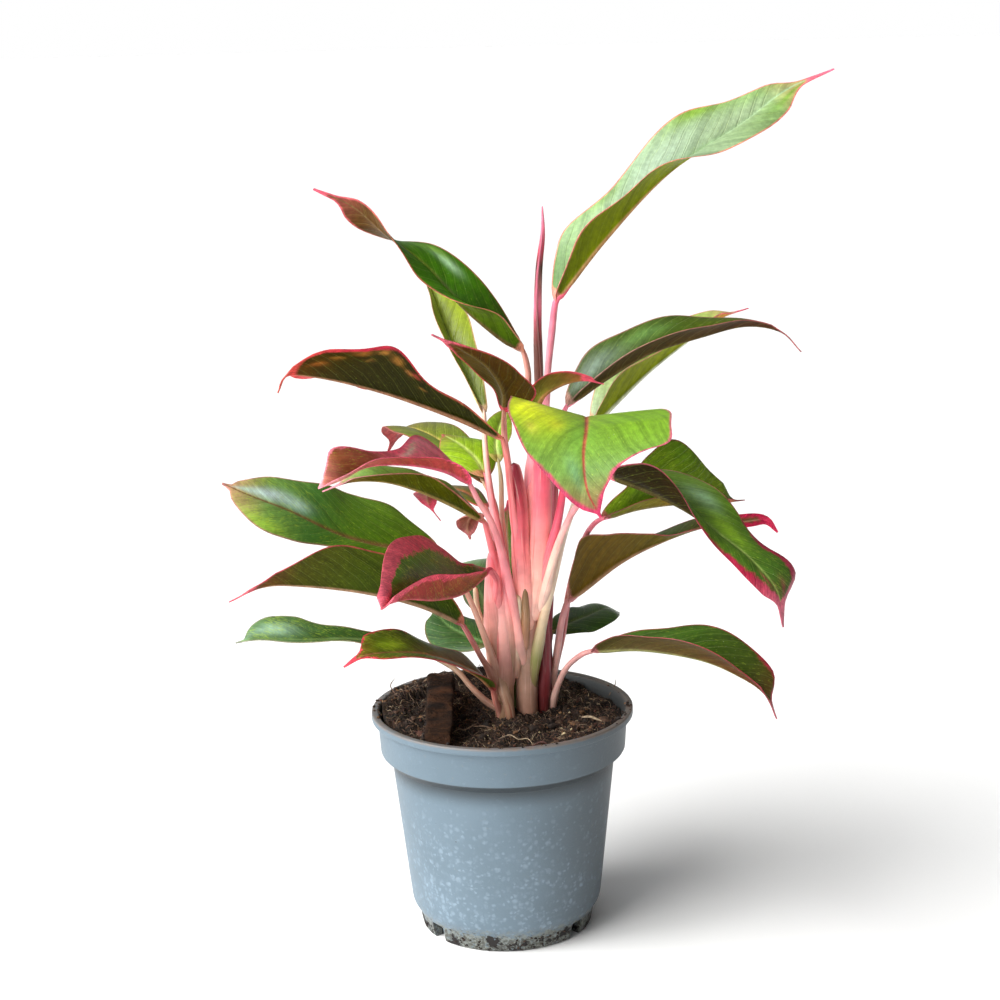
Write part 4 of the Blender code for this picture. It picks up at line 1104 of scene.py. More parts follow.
def build_blade(name, spec, finishes):
    """One leaf blade with its sunk midrib above, raised midrib below and thin margins."""
    rough_length = even_path(spec["rib"], 20)[1]
    steps = max(26, min(80, round(rough_length / ROW_LENGTH)))
    path, length = even_path(spec["rib"], steps)
    blade = grid(steps, 2 * HALF_STEPS)
    mesh = blade.data
    seed = sum(ord(letter) for letter in name) * 0.37
    frames = [blade_frame(spec, path, i, i / steps) for i in range(steps + 1)]
    layers = [mesh.color_attributes.new(key, 'FLOAT_COLOR', 'POINT').name
              for key in ("upper", "lower", "rim", "marks")]
    upper, lower, rim, marks = [mesh.color_attributes[key].data for key in layers]
    under_marks = []
    lay = []
    notes = []
    for k, (point, s, v) in enumerate(places(blade)):
        # Rows across the blade stand closer towards its rib.
        t = (v - 0.5) * 2
        v = abs(t) ** 1.5 * (-1 if t < 0 else 1)
        i = round(s * steps)
        place, width = blade_point(spec, path[i], *frames[i], s, v, seed)
        point.co = place * MM
        inward = width * (1 - abs(v))
        off_rib = width * abs(v)
        rib_half = 1.35 * (1 - s) ** 0.8 + 0.2
        rib_share = 0.85 * exp(-(off_rib / rib_half) ** 4)
        keel_share = 0.85 * exp(-(off_rib / (0.6 * rib_half)) ** 4)
        upper[k].color = (*blade_tone(
            spec["upper"], spec["spots"], spec["midrib"], s, v, rib_share), 1.0)
        lower[k].color = (*blade_tone(
            spec["under"], spec["under_spots"], spec["under_rib"], s, v, keel_share), 1.0)
        rim[k].color = (*between(spec["rim"], s), 1.0)
        tipped = max((s - spec["tip"]) * length, spec["root"] - s * length)
        blush, turned = [0.5 + max(between(spec[band], s) - inward, tipped) / 9.0
                         for band in ("band", "under_band")]
        rest = (between(spec["flecks"], s), min(1.0, inward / 2.0), spec["veins"])
        marks[k].color = (blush, *rest)
        under_marks.append((turned, *rest))
        lay.append((s * length * MM, v * width * MM))
        notes.append((s, off_rib, abs(v)))
    unwrap(mesh, lay)
    edit_all(blade, (bpy.ops.mesh.flip_normals, {}))
    facing = [vertex.normal.copy() for vertex in mesh.vertices]
    middle = [vertex.co.copy() for vertex in mesh.vertices]
    thick = blade.modifiers.new("thickness", 'SOLIDIFY')
    thick.thickness = 0.4 * MM
    thick.offset = 0.0
    thick.material_offset = 1
    for finish in finishes:
        mesh.materials.append(finish)
    apply_modifiers(blade)
    mesh = blade.data
    # The upper skin keeps the grid's order, and the lower one follows it.
    count = len(middle)
    for k, (s, off_rib, a) in enumerate(notes):
        thin = BLADE_HALF_THICKNESS - 0.14 * a ** 6
        groove = 0.3 * (1 - s) * exp(-(off_rib / 0.9) ** 2)
        raised = 1.25 * (1 - s) ** 1.3 * exp(-(off_rib / 1.25) ** 2) * min(1.0, 0.4 + s * 8)
        mesh.vertices[k].co = middle[k] + facing[k] * (thin - groove) * MM
        mesh.vertices[k + count].co = middle[k] - facing[k] * (thin + raised) * MM
        mesh.color_attributes["marks"].data[k + count].color = under_marks[k]
    smooth(blade, 65)
    hand_over(blade, name.replace("leaf_", "blade_"), finishes, "green_leaf", name)


# What the guessed leaves at the back have in common
BACK_LEAF = dict(upper="36581C 42681F 4E7A2A 5E8434 A86858", under="46541A 50581E 5A5A24 9A4A44",
                 rim="B87060 B05858 B83C50 D05068", midrib="A87A60", band=(-2, -1, -1, 0.5, 2),
                 flecks=(0.1, 0.18, 0.22), tip=0.92,
                 spots=((0.45, 0.4, 0.16, "86AC70", 0.5), (0.7, -0.4, 0.14, "8AB050", 0.5)))

# The leaves of the right-hand shoot, from the top down
leaf("leaf_01_tall_right", heart=RIGHT_HEART,
     rib=((28, 4, 289), (51, 12, 316), (80, 26, 343), (114, 40, 363), (135, 48, 377),
          (158, 54, 386)),
     up=((-0.6, -0.2, 0.7), (-0.5, -0.3, 0.8), (-0.4, -0.5, 0.7), (-0.4, -0.5, 0.7)),
     widths=((17, 13, 19, 17, 7), (10, 11, 11, 11, 8)),
     folds=((55, 45, 35, 20), (80, 80, 60, 10, -20, 0)), wave=(1, 4, 1.5),
     upper="4C7834 84A070 90A888 88A078 7C9A5C C88858",
     under="5D6800 6E7901 7C8705 8F8D0E DF733E", rim="E08878 D87868 DC8068 F06480",
     midrib="98B488", under_rib="C08C60", band=(-1, -2, -2, -2, -2, -1), tip=0.92, drip=0.82,
     root=4.5,
     # The first two, pale grey-green spots are painted sheen, a painted highlight on the wax; the
     # green ones are the leaf's own.
     spots=((0.45, -0.35, 0.2, "A0B49C", 0.85), (0.7, -0.2, 0.2, "94A884", 0.8),
            (0.62, -0.9, 0.12, "7AA02C", 0.9), (0.3, -0.9, 0.1, "6C9034", 0.6),
            (0.86, 0.5, 0.1, "64902C", 0.8)),
     stalk=((26, 4, 275), (24, 2, 259), (23, 0, 246), (21, 0, 228), (19, 0, 205)),
     girth=(1.6, 1.5, 1.6, 1.9, 2.4, 3.0),
     stalk_tones="F04868 F4869C F8A4B0 F49AA8 EC7C90 E46C80")
leaf("leaf_03_tall_left", heart=RIGHT_HEART,
     rib=((13, -4, 269), (3, -8, 276), (-14, -14, 292), (-28, -18, 309), (-44, -22, 323),
          (-58, -26, 336), (-74, -30, 344)),
     up=((0.5, -0.3, 0.8), (0.5, -0.4, 0.7), (0.4, -0.6, 0.6), (0.4, -0.6, 0.6), (0.5, 0.2, 0.8),
         (0.2, 0.9, 0.2), (0.2, 0.9, 0.2)), widths=((10, 11, 10, 6, 4), (12, 15, 13, 9, 6)),
     folds=((80, 80, 40, 5, 0, 0), (50, 40, 20, 5, 0, 0)),
     upper="263E05 3A6209 477E0C 3B6C0A 44690D 5B4917 C95B65",
     under="46640C 506C10 565C16 533D16 5A3A1C A54C4C", rim="D08870 D07860 C06A50 E86078",
     midrib="6A7A28", under_rib="6E5434", band=(-2, -2, -2, -1, 0, 0), tip=0.95,
     # The first, pale spot is painted sheen, a painted highlight on the wax.
     spots=((0.44, 0.62, 0.08, "B0D8A8", 1.0), (0.5, 0.75, 0.07, "8CB848", 0.7),
            (0.3, 0.5, 0.1, "345C10", 0.6)),
     stalk=((15, -4, 260), (15, -3, 249), (16, -1, 233), (16, 0, 214)),
     girth=(1.4, 1.4, 1.5, 1.9, 2.5), stalk_tones="E0A08C F0A8A0 F498A0 EC7C8C")
leaf("leaf_05_short_left", heart=RIGHT_HEART,
     rib=((4, -13, 244), (4, -24, 255), (-2, -40, 268), (-12, -56, 278), (-25, -70, 287)),
     up=((0.35, 0.85, 0.4),), widths=((14, 11, 7, 2), (5, 9, 8, 3)), folds=((10,),),
     upper="40520F 4A5A16 4E5214", under="392A02 3F2D02 482D04 4D2007",
     rim="B8404A B83A44 C8484E E07084", midrib="5A4A20", band=(-1, -0.5, 0.5, 1), tip=0.86,
     stalk=((4, -5, 230), (6, -2, 213), (7, -1, 194), (10, 0, 173)),
     girth=(1.4, 1.4, 1.5, 1.7, 2.2), stalk_tones="A87858 E0908C F0A09C F4A098")
leaf("leaf_06_broad_left", heart=RIGHT_HEART,
     rib=((3, -16, 232), (-15, -27, 243), (-40, -42, 256), (-60, -56, 265), (-76, -64, 270),
          (-85, -68, 271), (-89, -68, 264)), widths=((5, 8, 16, 20, 18), (8, 12, 14, 12, 7)),
     folds=((80, 85, 75, 65, 30), (20, 20, 10, -10)), wave=(2.2, 3, 0.1),
     upper="5A7A14 54700E 445A0C 5A5010", under="252700 282800 292802 2F2802 502E07",
     rim="B86850 B85848 C8384A D02E48 DC5A48", midrib="A8785A", band=(-2, -2, 0, 2, 3, 3),
     under_band=(-3, -2, -1, 1.5, 3, 2), tip=0.9, drip=0.88,
     under_spots=((0.55, -0.8, 0.035, "C08038", 0.9), (0.62, -0.86, 0.03, "C88A40", 0.9),
                  (0.7, -0.8, 0.04, "B07030", 0.9), (0.48, -0.75, 0.025, "C07840", 0.9),
                  (0.45, -0.85, 0.025, "C04840", 0.9), (0.78, -0.6, 0.03, "A8702C", 0.8),
                  (0.74, -0.9, 0.03, "C07838", 0.9), (0.84, -0.4, 0.04, "A86028", 0.7),
                  (0.4, -0.6, 0.02, "A87838", 0.8), (0.66, -0.6, 0.02, "9A7030", 0.8)),
     stalk=((5, -12, 221), (6, -7, 207), (8, -4, 188), (10, -3, 164)),
     girth=(1.4, 1.5, 1.8, 2.1, 2.8), stalk_tones="D88070 E87C80 EC8088 F49A94")
leaf("leaf_07_arching_right", heart=RIGHT_HEART,
     rib=((32, 0, 243), (49, 4, 254), (70, 8, 265), (93, 12, 271), (113, 14, 275), (129, 14, 272),
          (138, 12, 263)), up=((-0.3, 0, 0.9), (-0.1, -0.1, 1), (0.2, -0.1, 1), (0.4, 0, 0.9)),
     widths=((14, 15, 16, 9, 4), (4, 7, 10, 8, 3)), folds=((70, 50, 30, 20), (70, 60, 50, 50)),
     upper="3C4D20 43591D 3F540D 45510B 563D18", under="38320F 403212 443314 442B18 52261B",
     rim="B08878 A87868 9A5A50 B04A50", midrib="98A880", under_rib="5A4A28",
     band=(-3, -3, -2, -2), tip=0.99,
     # The first, grey spot is painted sheen, a painted highlight on the wax.
     spots=((0.15, -0.5, 0.16, "8EA498", 0.6), (0.4, -0.6, 0.12, "6E9A50", 0.6)),
     stalk=((29, 0, 235), (25, 0, 214), (23, 1, 191), (20, 2, 167)),
     girth=(1.4, 1.4, 1.8, 2.2, 2.8), stalk_tones="E87890 F090A0 E0607A D8506C EE8C88")
leaf("leaf_08_upper_right", heart=RIGHT_HEART,
     rib=((45, 30, 228), (58, 38, 239), (73, 50, 250), (93, 64, 262), (109, 76, 270),
          (123, 86, 273)), up=((-0.6, -0.3, 0.7), (-0.4, -0.2, 0.8)),
     widths=((13, 14, 14, 13, 8), (12, 10, 7, 5, 3)), folds=((45, 30), (70, 60)),
     upper="A3B594 98AC73 7D9435 87A644 A6B961 D96573",
     under="7D8A0E 818A0B 899613 ACA02B F56443", rim="C89878 C89070 E07078 F05A74",
     midrib="D8DCC0", band=(-2, -2, -2, -1, 0), flecks=(0.1, 0.25, 0.3), tip=0.93,
     stalk=((40, 20, 212), (35, 10, 196), (29, 4, 181), (24, -1, 163), (19, -2, 143),
            (15, -1, 121)), girth=(1.3, 1.4, 1.7, 2.1, 2.2, 2.3, 2.8),
     stalk_tones="F0D0B8 F4DCC4 FAE8D4 FAE0CC E4C8A8 84844C 94785C")
leaf("leaf_09_small_right", heart=RIGHT_HEART,
     rib=((18, -5, 242), (22, -9, 250), (30, -12, 255), (39, -14, 257), (48, -14, 255)),
     widths=((5, 7, 6, 3), (5, 8, 7, 3)), folds=((30,), (60,)), upper="4E7420 6A7A24 8A5A30",
     under="5E6A1C 7A6422 A8503C", rim="D86058 E05058 F0607A", midrib="A07040",
     band=(0, 0.5, 1, 2), tip=0.75, stalk=((17, -2, 233), (16, 1, 220)), girth=(1.3, 1.6, 2.4),
     stalk_tones="E89878 F0A0A0 EC8490")
leaf("leaf_10_broad_front", heart=RIGHT_HEART,
     rib=((36, -34, 238), (38, -58, 249), (37, -84, 249), (35, -100, 241), (36, -110, 229),
          (41, -114, 219)), up=((0, -0.1, 1), (0, -0.3, 1), (0, -0.8, 0.6), (0, -0.9, 0.4)),
     widths=((18, 22, 30, 34, 34, 33, 15, 7), (28, 32, 32, 26, 12)),
     folds=((0, 5, 10, 4), (22, 15, 5, 0)), curl=0,
     upper="7CA108 789E0A 739B10 6C9227 678A3E 915D4C", under="7A9A18 889E20 8A9040 B07070",
     rim="B86870 B4606C BC5068 B83458", midrib="A02C34", band=(-2, -2, -1, 0, 1.5, 2.5),
     flecks=(0.2, 0.3, 0.1, 0.0), tip=0.985, drip=0.95, veins=0.25,
     spots=((0.42, 0.75, 0.2, "E4EE18", 1.0), (0.55, 0.4, 0.07, "D4CC30", 0.6),
            (0.45, -0.6, 0.2, "608C06", 0.7), (0.62, 0.1, 0.14, "70A03C", 0.6),
            (0.8, 0.25, 0.1, "6C9868", 0.7), (0.6, 0.75, 0.05, "D8C850", 0.6),
            (0.42, -0.9, 0.1, "74A40A", 0.8), (0.5, 0.55, 0.16, "B8C820", 0.7)),
     stalk=((32, -26, 228), (30, -16, 213), (27, -8, 193), (22, -3, 173), (18, -1, 159)),
     girth=(1.5, 1.5, 1.7, 2.0, 2.4, 2.8),
     stalk_tones="D85870 DC6078 D84864 E06478 F4908E F8A898")
leaf("leaf_11_drooping_right", heart=RIGHT_HEART,
     rib=((48, -28, 217), (64, -40, 213), (80, -54, 207), (94, -66, 198), (105, -74, 190),
          (115, -80, 178), (118, -80, 162)),
     up=((0.1, 0.1, 1), (0.3, 0, 0.9), (0.5, -0.4, 0.8), (0.6, -0.7, 0.5), (0.6, -0.7, 0.5)),
     widths=((18, 22, 18, 12, 16), (12, 13, 12, 9, 7)),
     folds=((35, 30, 10, 0), (80, 70, 30, 0, 0)),
     upper="405912 577917 64891C 53771C 426422 624131",
     under="1F1804 221904 281C08 341D0F 64252D", rim="B86068 B85868 B0304C A82440 C86A7C",
     midrib="8AA050", under_rib="4A4020", band=(-2, -2, -1, 1.2, 4.5, 5), flecks=(0.1, 0.3, 0.3),
     tip=0.93,
     # The first, pale spot is painted sheen, a painted highlight on the wax; the red ones are the
     # leaf's own.
     spots=((0.38, -0.5, 0.12, "9CC498", 0.85), (0.55, -0.3, 0.14, "8CB428", 0.7),
            (0.8, 0.2, 0.05, "9A3A44", 0.8), (0.86, -0.3, 0.05, "8A4044", 0.8),
            (0.84, 0.0, 0.03, "9A4048", 0.7)),
     stalk=((42, -24, 212), (37, -18, 204), (31, -12, 193), (25, -7, 176), (20, -3, 156)),
     girth=(1.4, 1.4, 1.5, 1.8, 2.0, 2.4),
     stalk_tones="D06878 E07888 E8A0A0 F6CEBC F6CCBC F8C4B0")
leaf("leaf_21_pink_left", heart=RIGHT_HEART,
     rib=((-12, -14, 212), (-22, -28, 221), (-37, -46, 228), (-53, -62, 231), (-64, -74, 228),
          (-73, -80, 226)), widths=((6, 8, 8, 8, 6), (10, 16, 7, 6, 13)), folds=((40,), (60,)),
     upper="FF7090 FF7C98 FF94AA FF7C98 9A5040 84482C C07068",
     under="C84C50 B44444 A43C38 B05A54 E0A090", rim="F4587A F66484 F45A78 E0607C F8A0AC",
     midrib="E0607C", band=(6, 3, 1, 0.5, 0.5), under_band=(2, 0, -1, 1, 2),
     flecks=(0.2, 0.4, 0.3, 0.2), tip=0.97, drip=0.999,
     spots=((0.5, 0.3, 0.05, "E4F0D0", 0.8), (0.42, 0.62, 0.045, "D8E8C4", 0.8),
            (0.46, 0.5, 0.06, "FFE8E0", 0.9), (0.4, 0.75, 0.03, "C0D8A0", 0.7),
            (0.52, 0.8, 0.08, "D8405C", 0.6)),
     stalk=((-8, -12, 203), (-3, -11, 194), (1, -9, 181), (4, -8, 166), (7, -6, 150),
            (9, -3, 132)), girth=(1.4, 1.5, 1.9, 2.1, 2.0, 1.9, 2.6),
     stalk_tones="F08098 E8A0A0 EC8C94 F09098 EC9C98 E8B0A4 C89484")
leaf("leaf_30_back_right", heart=RIGHT_HEART,
     rib=((25, 22, 209), (35, 48, 211), (46, 78, 207), (57, 108, 190)),
     widths=((14, 22, 20, 10),), folds=((20,),),
     stalk=((23, 15, 202), (20, 8, 185), (17, 4, 167)), girth=(1.3, 1.5, 2.0, 2.6),
     stalk_tones="E08890 E87C88 F09090", **BACK_LEAF)
leaf("leaf_33_low_back", heart=RIGHT_HEART,
     rib=((13, 14, 146), (14, 40, 154), (16, 72, 150), (18, 100, 134)), widths=((10, 15, 14, 8),),
     folds=((25,),), stalk=((13, 8, 141), (12, 3, 130)), girth=(1.3, 1.5, 2.2),
     stalk_tones="D8948C C08878 B08470", **BACK_LEAF)
# The leaves of the side shoot at the right
leaf("leaf_12_broad_right", heart=SIDE_HEART,
     rib=((48, 6, 190), (66, 24, 190), (86, 44, 187), (104, 60, 183), (120, 74, 181)),
     widths=((10, 24, 31, 15), (5, 7, 6, 4)), folds=((75,), (50,)),
     upper="66840F 6B8A13 61800E 66761A", under="676D0D 7A6D12 8A551C 9F4A2D",
     rim="9A5A48 985040 90403C", midrib="8A7A50", band=(-2, -1, 0), flecks=(0.5, 0.6, 0.5),
     drip=0.9, spots=((0.3, -0.6, 0.15, "78A028", 0.6), (0.6, -0.8, 0.1, "6C9820", 0.6)),
     stalk=((44, 12, 186), (40, 22, 177), (36, 30, 163), (32, 26, 148), (29, 18, 132),
            (25, 13, 118), (22, 9, 106)), girth=(1.3, 1.3, 1.4, 1.5, 1.5, 1.5, 1.6, 2.0),
     stalk_tones="D86880 E07888 E0808C DC8C8C D09088 C09080")
leaf("leaf_13_slender_right", heart=SIDE_HEART,
     rib=((31, 12, 149), (42, 20, 155), (57, 30, 163), (74, 42, 168), (97, 56, 172),
          (119, 66, 172), (130, 72, 171), (136, 72, 165)),
     up=((0, 0, 1), (0, 0, 1), (0, 0, 1), (0, 0, 1), (0, -0.8, 0.7), (0, -1, 0.2)),
     widths=((8, 8, 8, 8, 8, 4, 3.2), (24, 17, 9, 4, 3, 2.4, 2.4)),
     folds=((30, 20, 10), (88, 80, 40, 10)), upper="4A6420 3E5C1C 4A6424 5A5024 8A4434",
     under="634A0C 6A5216 60540F 5C5C10 7A4517", rim="C07A70 C07068 B04A50 C8284A D02850",
     midrib="A88060", band=(-2, -2, -1, -1, 2, 3), flecks=(0.1, 0.1, 0.15), tip=0.9, drip=0.999,
     stalk=((28, 10, 139), (26, 9, 127), (23, 9, 110), (22, 8, 99)),
     girth=(1.6, 1.7, 1.7, 2.2, 2.4), stalk_tones="D8888C E0A0A0 D8A498 C8A08C B88C78")
leaf("leaf_14_low_back_right", heart=SIDE_HEART,
     rib=((24, 22, 132), (33, 34, 133), (43, 50, 132), (52, 68, 130), (59, 84, 123)),
     up=((0, -0.6, 0.8),), widths=((8, 9, 9, 6),), folds=((0,),),
     upper="325018 37591A 3E621A 43661C", under="395215 3E5B16 435F18", rim="4A5A28 4A6028",
     midrib="5A7034", band=(-3,), drip=0.999, stalk=((22, 18, 122), (22, 13, 108), (22, 9, 98)),
     girth=(1.2, 1.3, 1.6, 2.2), stalk_tones="6A6A40 9A7A60 A88470")
leaf("leaf_15_low_right", heart=SIDE_HEART,
     rib=((41, -16, 134), (62, -28, 138), (87, -42, 137), (104, -50, 131), (114, -54, 124),
          (119, -54, 113)), up=((0, 0, 1), (0.3, -0.2, 0.9)),
     widths=((8, 12, 18, 16, 11), (11, 14, 18, 15, 5)), folds=((50, 35), (52, 45)),
     upper="304911 375814 395811 3E4E11 672B24", under="48411D 514327 513E1D 54301A 7D242B",
     rim="A06060 9A4848 A03040 A8283C B04050", midrib="8A8A58", band=(-3, -2, -1, 0, 1.5, 2.5),
     flecks=(0.05, 0.15, 0.2), tip=0.94,
     stalk=((36, -12, 131), (30, -4, 123), (26, 2, 113), (23, 7, 101), (22, 8, 94)),
     girth=(1.3, 1.3, 1.4, 1.6, 2.2, 2.4), stalk_tones="C88080 D8A09C D0A498 C8A08E A88470")
# The leaves of the left-hand shoot
leaf("leaf_04_narrow_left", heart=LEFT_HEART,
     rib=((-5, 28, 236), (-12, 40, 250), (-21, 56, 267), (-28, 74, 283), (-32, 86, 295)),
     up=((0.5, -0.8, 0.2),), widths=((6, 10, 12, 8),), folds=((50,),),
     upper="5C6714 718118 8E9F26 A4B534", under="777B18 99A321 D3CF4C EDE369",
     rim="B89870 B89068 C09870", midrib="A0B060", band=(-3, -2),
     stalk=((-5, 20, 225), (-4, 13, 212), (-2, 8, 197), (1, 5, 181), (3, 2, 163), (3, 0, 145)),
     girth=(1.3, 1.4, 1.6, 1.9, 1.9, 2.2, 2.6),
     stalk_tones="C8A890 E8B8A8 F0A0A4 EC8C94 F09C9C F0A49C")
leaf("leaf_16_broad_low_left", heart=LEFT_HEART,
     rib=((-26, -4, 179), (-44, -10, 182), (-68, -20, 191), (-90, -30, 205), (-107, -36, 214),
          (-118, -38, 220)), up=((-0.1, -0.6, 0.8),),
     widths=((6, 6, 8, 13, 13), (22, 26, 24, 18, 12)), folds=((0,), (10,)),
     upper="435E0F 4C6D13 517A1C 4A7E33 709847 CA9475", under="46581C 4E6020 586C2C 7A7A50",
     rim="A07858 A87A60 B88A74 C88A80", midrib="7A5436", band=(-3, -3, -3, -2, -1),
     flecks=(0.2, 0.3, 0.5, 0.9), tip=0.985, drip=0.94,
     # The pale blue-grey spots are painted sheen, a painted highlight along the rib; the
     # yellow-green one is the leaf's own.
     spots=((0.8, 0.3, 0.13, "C4DCD8", 1.0), (0.68, 0.24, 0.09, "ACCCC0", 0.9),
            (0.9, 0.26, 0.08, "B8D4C8", 0.8), (0.8, -0.85, 0.14, "98C440", 0.8),
            (0.66, 0.1, 0.05, "84AC94", 0.6)),
     stalk=((-19, -9, 169), (-14, -12, 160), (-9, -11, 146), (-5, -8, 133), (-2, -4, 120)),
     girth=(1.2, 1.2, 1.3, 1.5, 1.7, 2.4), stalk_tones="B07058 C88C78 D4A08C CC9C88 B88E78")
leaf("leaf_17_pointed_low_left", heart=LEFT_HEART,
     rib=((-17, -16, 148), (-35, -30, 161), (-58, -46, 172), (-84, -62, 180), (-99, -70, 182),
          (-113, -74, 177)), widths=((11, 17, 20, 21, 6), (10, 14, 12, 8, 4)),
     folds=((75,), (20,)), upper="3B550B 3E580E 41550E 53461A",
     under="2B3A04 344406 3D4E09 424209 74281F", rim="9A5A48 9A4A3C A84848 D05060",
     midrib="A88468", band=(-2, -2, -1, -0.5, 0), flecks=(0.2, 0.3, 0.3), tip=0.9, drip=0.92,
     stalk=((-13, -14, 140), (-9, -11, 131), (-4, -6, 120)), girth=(1.3, 1.3, 1.5, 2.4),
     stalk_tones="A84858 BC7068 B88470 A87C68")
leaf("leaf_18_pale_low_left", heart=LEFT_HEART,
     rib=((-37, 2, 131), (-55, -6, 137), (-70, -12, 141), (-89, -22, 144), (-106, -28, 147),
          (-117, -30, 146)), widths=((6, 5, 6, 6, 4), (6, 6, 8, 13, 12)), folds=((12,), (45,)),
     upper="2F4B16 35561F 3C602B 4E703C 5F7E53", under="4A6A28 54743C 68885A",
     rim="A08C70 A89078 A8A088 8A8A7A", midrib="86A468", band=(-3, -2, -2),
     flecks=(0.4, 0.6, 0.7, 0.8), tip=1.1, drip=0.92, spots=((0.8, 0.4, 0.16, "A0C4B0", 0.7),),
     stalk=((-28, 2, 126), (-20, 0, 121), (-14, -2, 114), (-7, -3, 107), (0, -3, 102)),
     girth=(1.3, 1.3, 1.3, 1.5, 1.8, 2.4), stalk_tones="7C8A60 988068 A07A66 987262 90705C")
leaf("leaf_19_lowest_left", heart=LEFT_HEART,
     rib=((-4, -10, 115), (-10, -20, 125), (-22, -34, 136), (-35, -50, 145), (-49, -64, 150),
          (-59, -72, 151), (-66, -76, 148)), up=((0, -0.3, 0.95), (-0.2, -0.4, 0.9)),
     widths=((8, 9, 8, 6, 6), (10, 9, 11, 14, 11)), folds=((10,), (30,)),
     upper="1E2D04 253405 2F3F08 3D540A 4B6010 793024", under="30400A 34440C 4A4A18 A03038",
     rim="7A3030 A03440 B83040 CC4050", midrib="A87050", band=(-2, -1, -0.5, 0, 0.5, 1),
     flecks=(0.1, 0.2, 0.6, 1.0), tip=0.93, spots=((0.75, 0.3, 0.12, "8CB01C", 0.7),),
     stalk=((-3, -8, 109), (-1, -4, 102)), girth=(1.4, 1.7, 2.2),
     stalk_tones="A85048 C08070 B88E78")
leaf("leaf_20_folded_front_left", heart=LEFT_HEART,
     rib=((-4, -16, 173), (-15, -34, 168), (-27, -56, 171), (-38, -76, 177), (-45, -90, 179),
          (-48, -98, 179)), widths=((10, 14, 15, 14, 8), (11, 21, 27, 26, 20)),
     folds=((60,), (80,)), upper="356A02 367002 3B7204 467006",
     under="773E22 813C26 933935 A43C40", rim="B4384A C04456 CC4C5C D86474", midrib="C05A60",
     band=(0, 3, 6, 8, 12), under_band=(1, 2, 3, 5, 12), flecks=(0.6, 0.6, 0.5), tip=0.97,
     drip=0.95, under_spots=((0.5, 0.5, 0.2, "8A6A48", 0.6), (0.3, 0.7, 0.15, "8A7450", 0.5)),
     stalk=((-1, -9, 166), (-1, -5, 156)), girth=(1.6, 2.0, 2.8),
     stalk_tones="D86070 E88084 F09A94")
leaf("leaf_22_arching_left", heart=LEFT_HEART,
     rib=((-6, -4, 192), (-19, -14, 202), (-34, -26, 212), (-48, -38, 219), (-62, -46, 221),
          (-74, -50, 218)), widths=((4, 8, 11, 7, 4), (13, 14, 13, 10, 6)), folds=((45,),),
     upper="465A0C 4B650A 5F8213 79A635 89B15F D2918F",
     under="3A3E00 404300 4A4C03 504C0F 9D6C48", rim="B87868 B87060 C07A70 E090A0",
     midrib="A08850", band=(-2, -2, -2, -1, 0, 1), flecks=(0.2, 0.4, 0.4), tip=0.9,
     stalk=((-4, -4, 184), (-2, -3, 173)), girth=(1.4, 1.6, 2.4),
     stalk_tones="D07070 E87C84 EC8488")
leaf("leaf_23_small_hanging_left", heart=LEFT_HEART,
     rib=((-5, 20, 193), (-17, 38, 197), (-32, 58, 193), (-33, 72, 183), (-28, 76, 174)),
     widths=((6, 9, 8, 4),), folds=((10,),), upper="54601C 6A5020 8A4434",
     under="5A4420 6A4424 8A4038 B83A4A", rim="A84A48 B03848 C8405A", midrib="9A5A44",
     band=(-2, 0, 2, 3), tip=0.85, stalk=((-3, 12, 184), (-1, 4, 172), (-1, 0, 162)),
     girth=(1.2, 1.5, 1.8, 2.2), stalk_tones="B86860 D88484 F09090")
leaf("leaf_24_olive_back_left", heart=LEFT_HEART,
     rib=((-6, 24, 204), (-19, 46, 214), (-34, 70, 219), (-46, 90, 217), (-54, 102, 203)),
     widths=((8, 13, 14, 10),), folds=((15,),), upper="6E8215 687D0D 65650D 824832",
     under="6A6A1E 7A5A30 8A4A3C A83A40", rim="9A6A4A A05A48 A84048", midrib="A8984A",
     band=(-2, -1, 0, 2), flecks=(0.2, 0.25, 0.15), tip=0.8,
     stalk=((-1, 20, 194), (0, 12, 181), (0, 3, 165), (0, 0, 155)),
     girth=(1.2, 1.3, 1.6, 2.0, 2.2), stalk_tones="B8A070 D8A090 E89490 F09A94")
leaf("leaf_25_speckled_left", heart=LEFT_HEART,
     rib=((-5, 14, 209), (-9, 22, 215), (-16, 32, 220), (-25, 44, 223)), up=((0.3, -0.7, 0.6),),
     widths=((8, 12, 12, 7), (8, 12, 12, 6)), folds=((0,),), upper="719311 7EA014 759311 80712E",
     under="6A8224 74862A 80703A", rim="A87850 A06848 9A5444", midrib="A8B860", band=(-2, -1, 0),
     flecks=(0.3, 0.4, 0.3), drip=0.94,
     stalk=((-3, 12, 198), (-1, 7, 185), (0, 3, 172), (0, 0, 160)),
     girth=(1.2, 1.5, 1.8, 2.0, 2.2), stalk_tones="E07888 E88890 F09094 F09A94")
leaf("leaf_26_small_between", heart=LEFT_HEART,
     rib=((1, 22, 214), (0, 30, 221), (2, 38, 228), (5, 46, 234)), up=((0, -0.9, 0.4),),
     widths=((4, 6, 6, 4),), folds=((20,),), upper="729A21 7BA329 82AA2A 919F39",
     under="658925 6E8F29", rim="A8A050 A88850", midrib="B8CC70", band=(-3, -1),
     flecks=(0.4, 0.4, 0.4), drip=0.94,
     stalk=((2, 19, 206), (2, 14, 193), (3, 9, 178), (4, 4, 158), (3, 1, 148)),
     girth=(1.2, 1.2, 1.3, 1.5, 1.8, 2.0), stalk_tones="B8C080 E0C0A8 F0BCB0 F0A8A0 F0A49C")
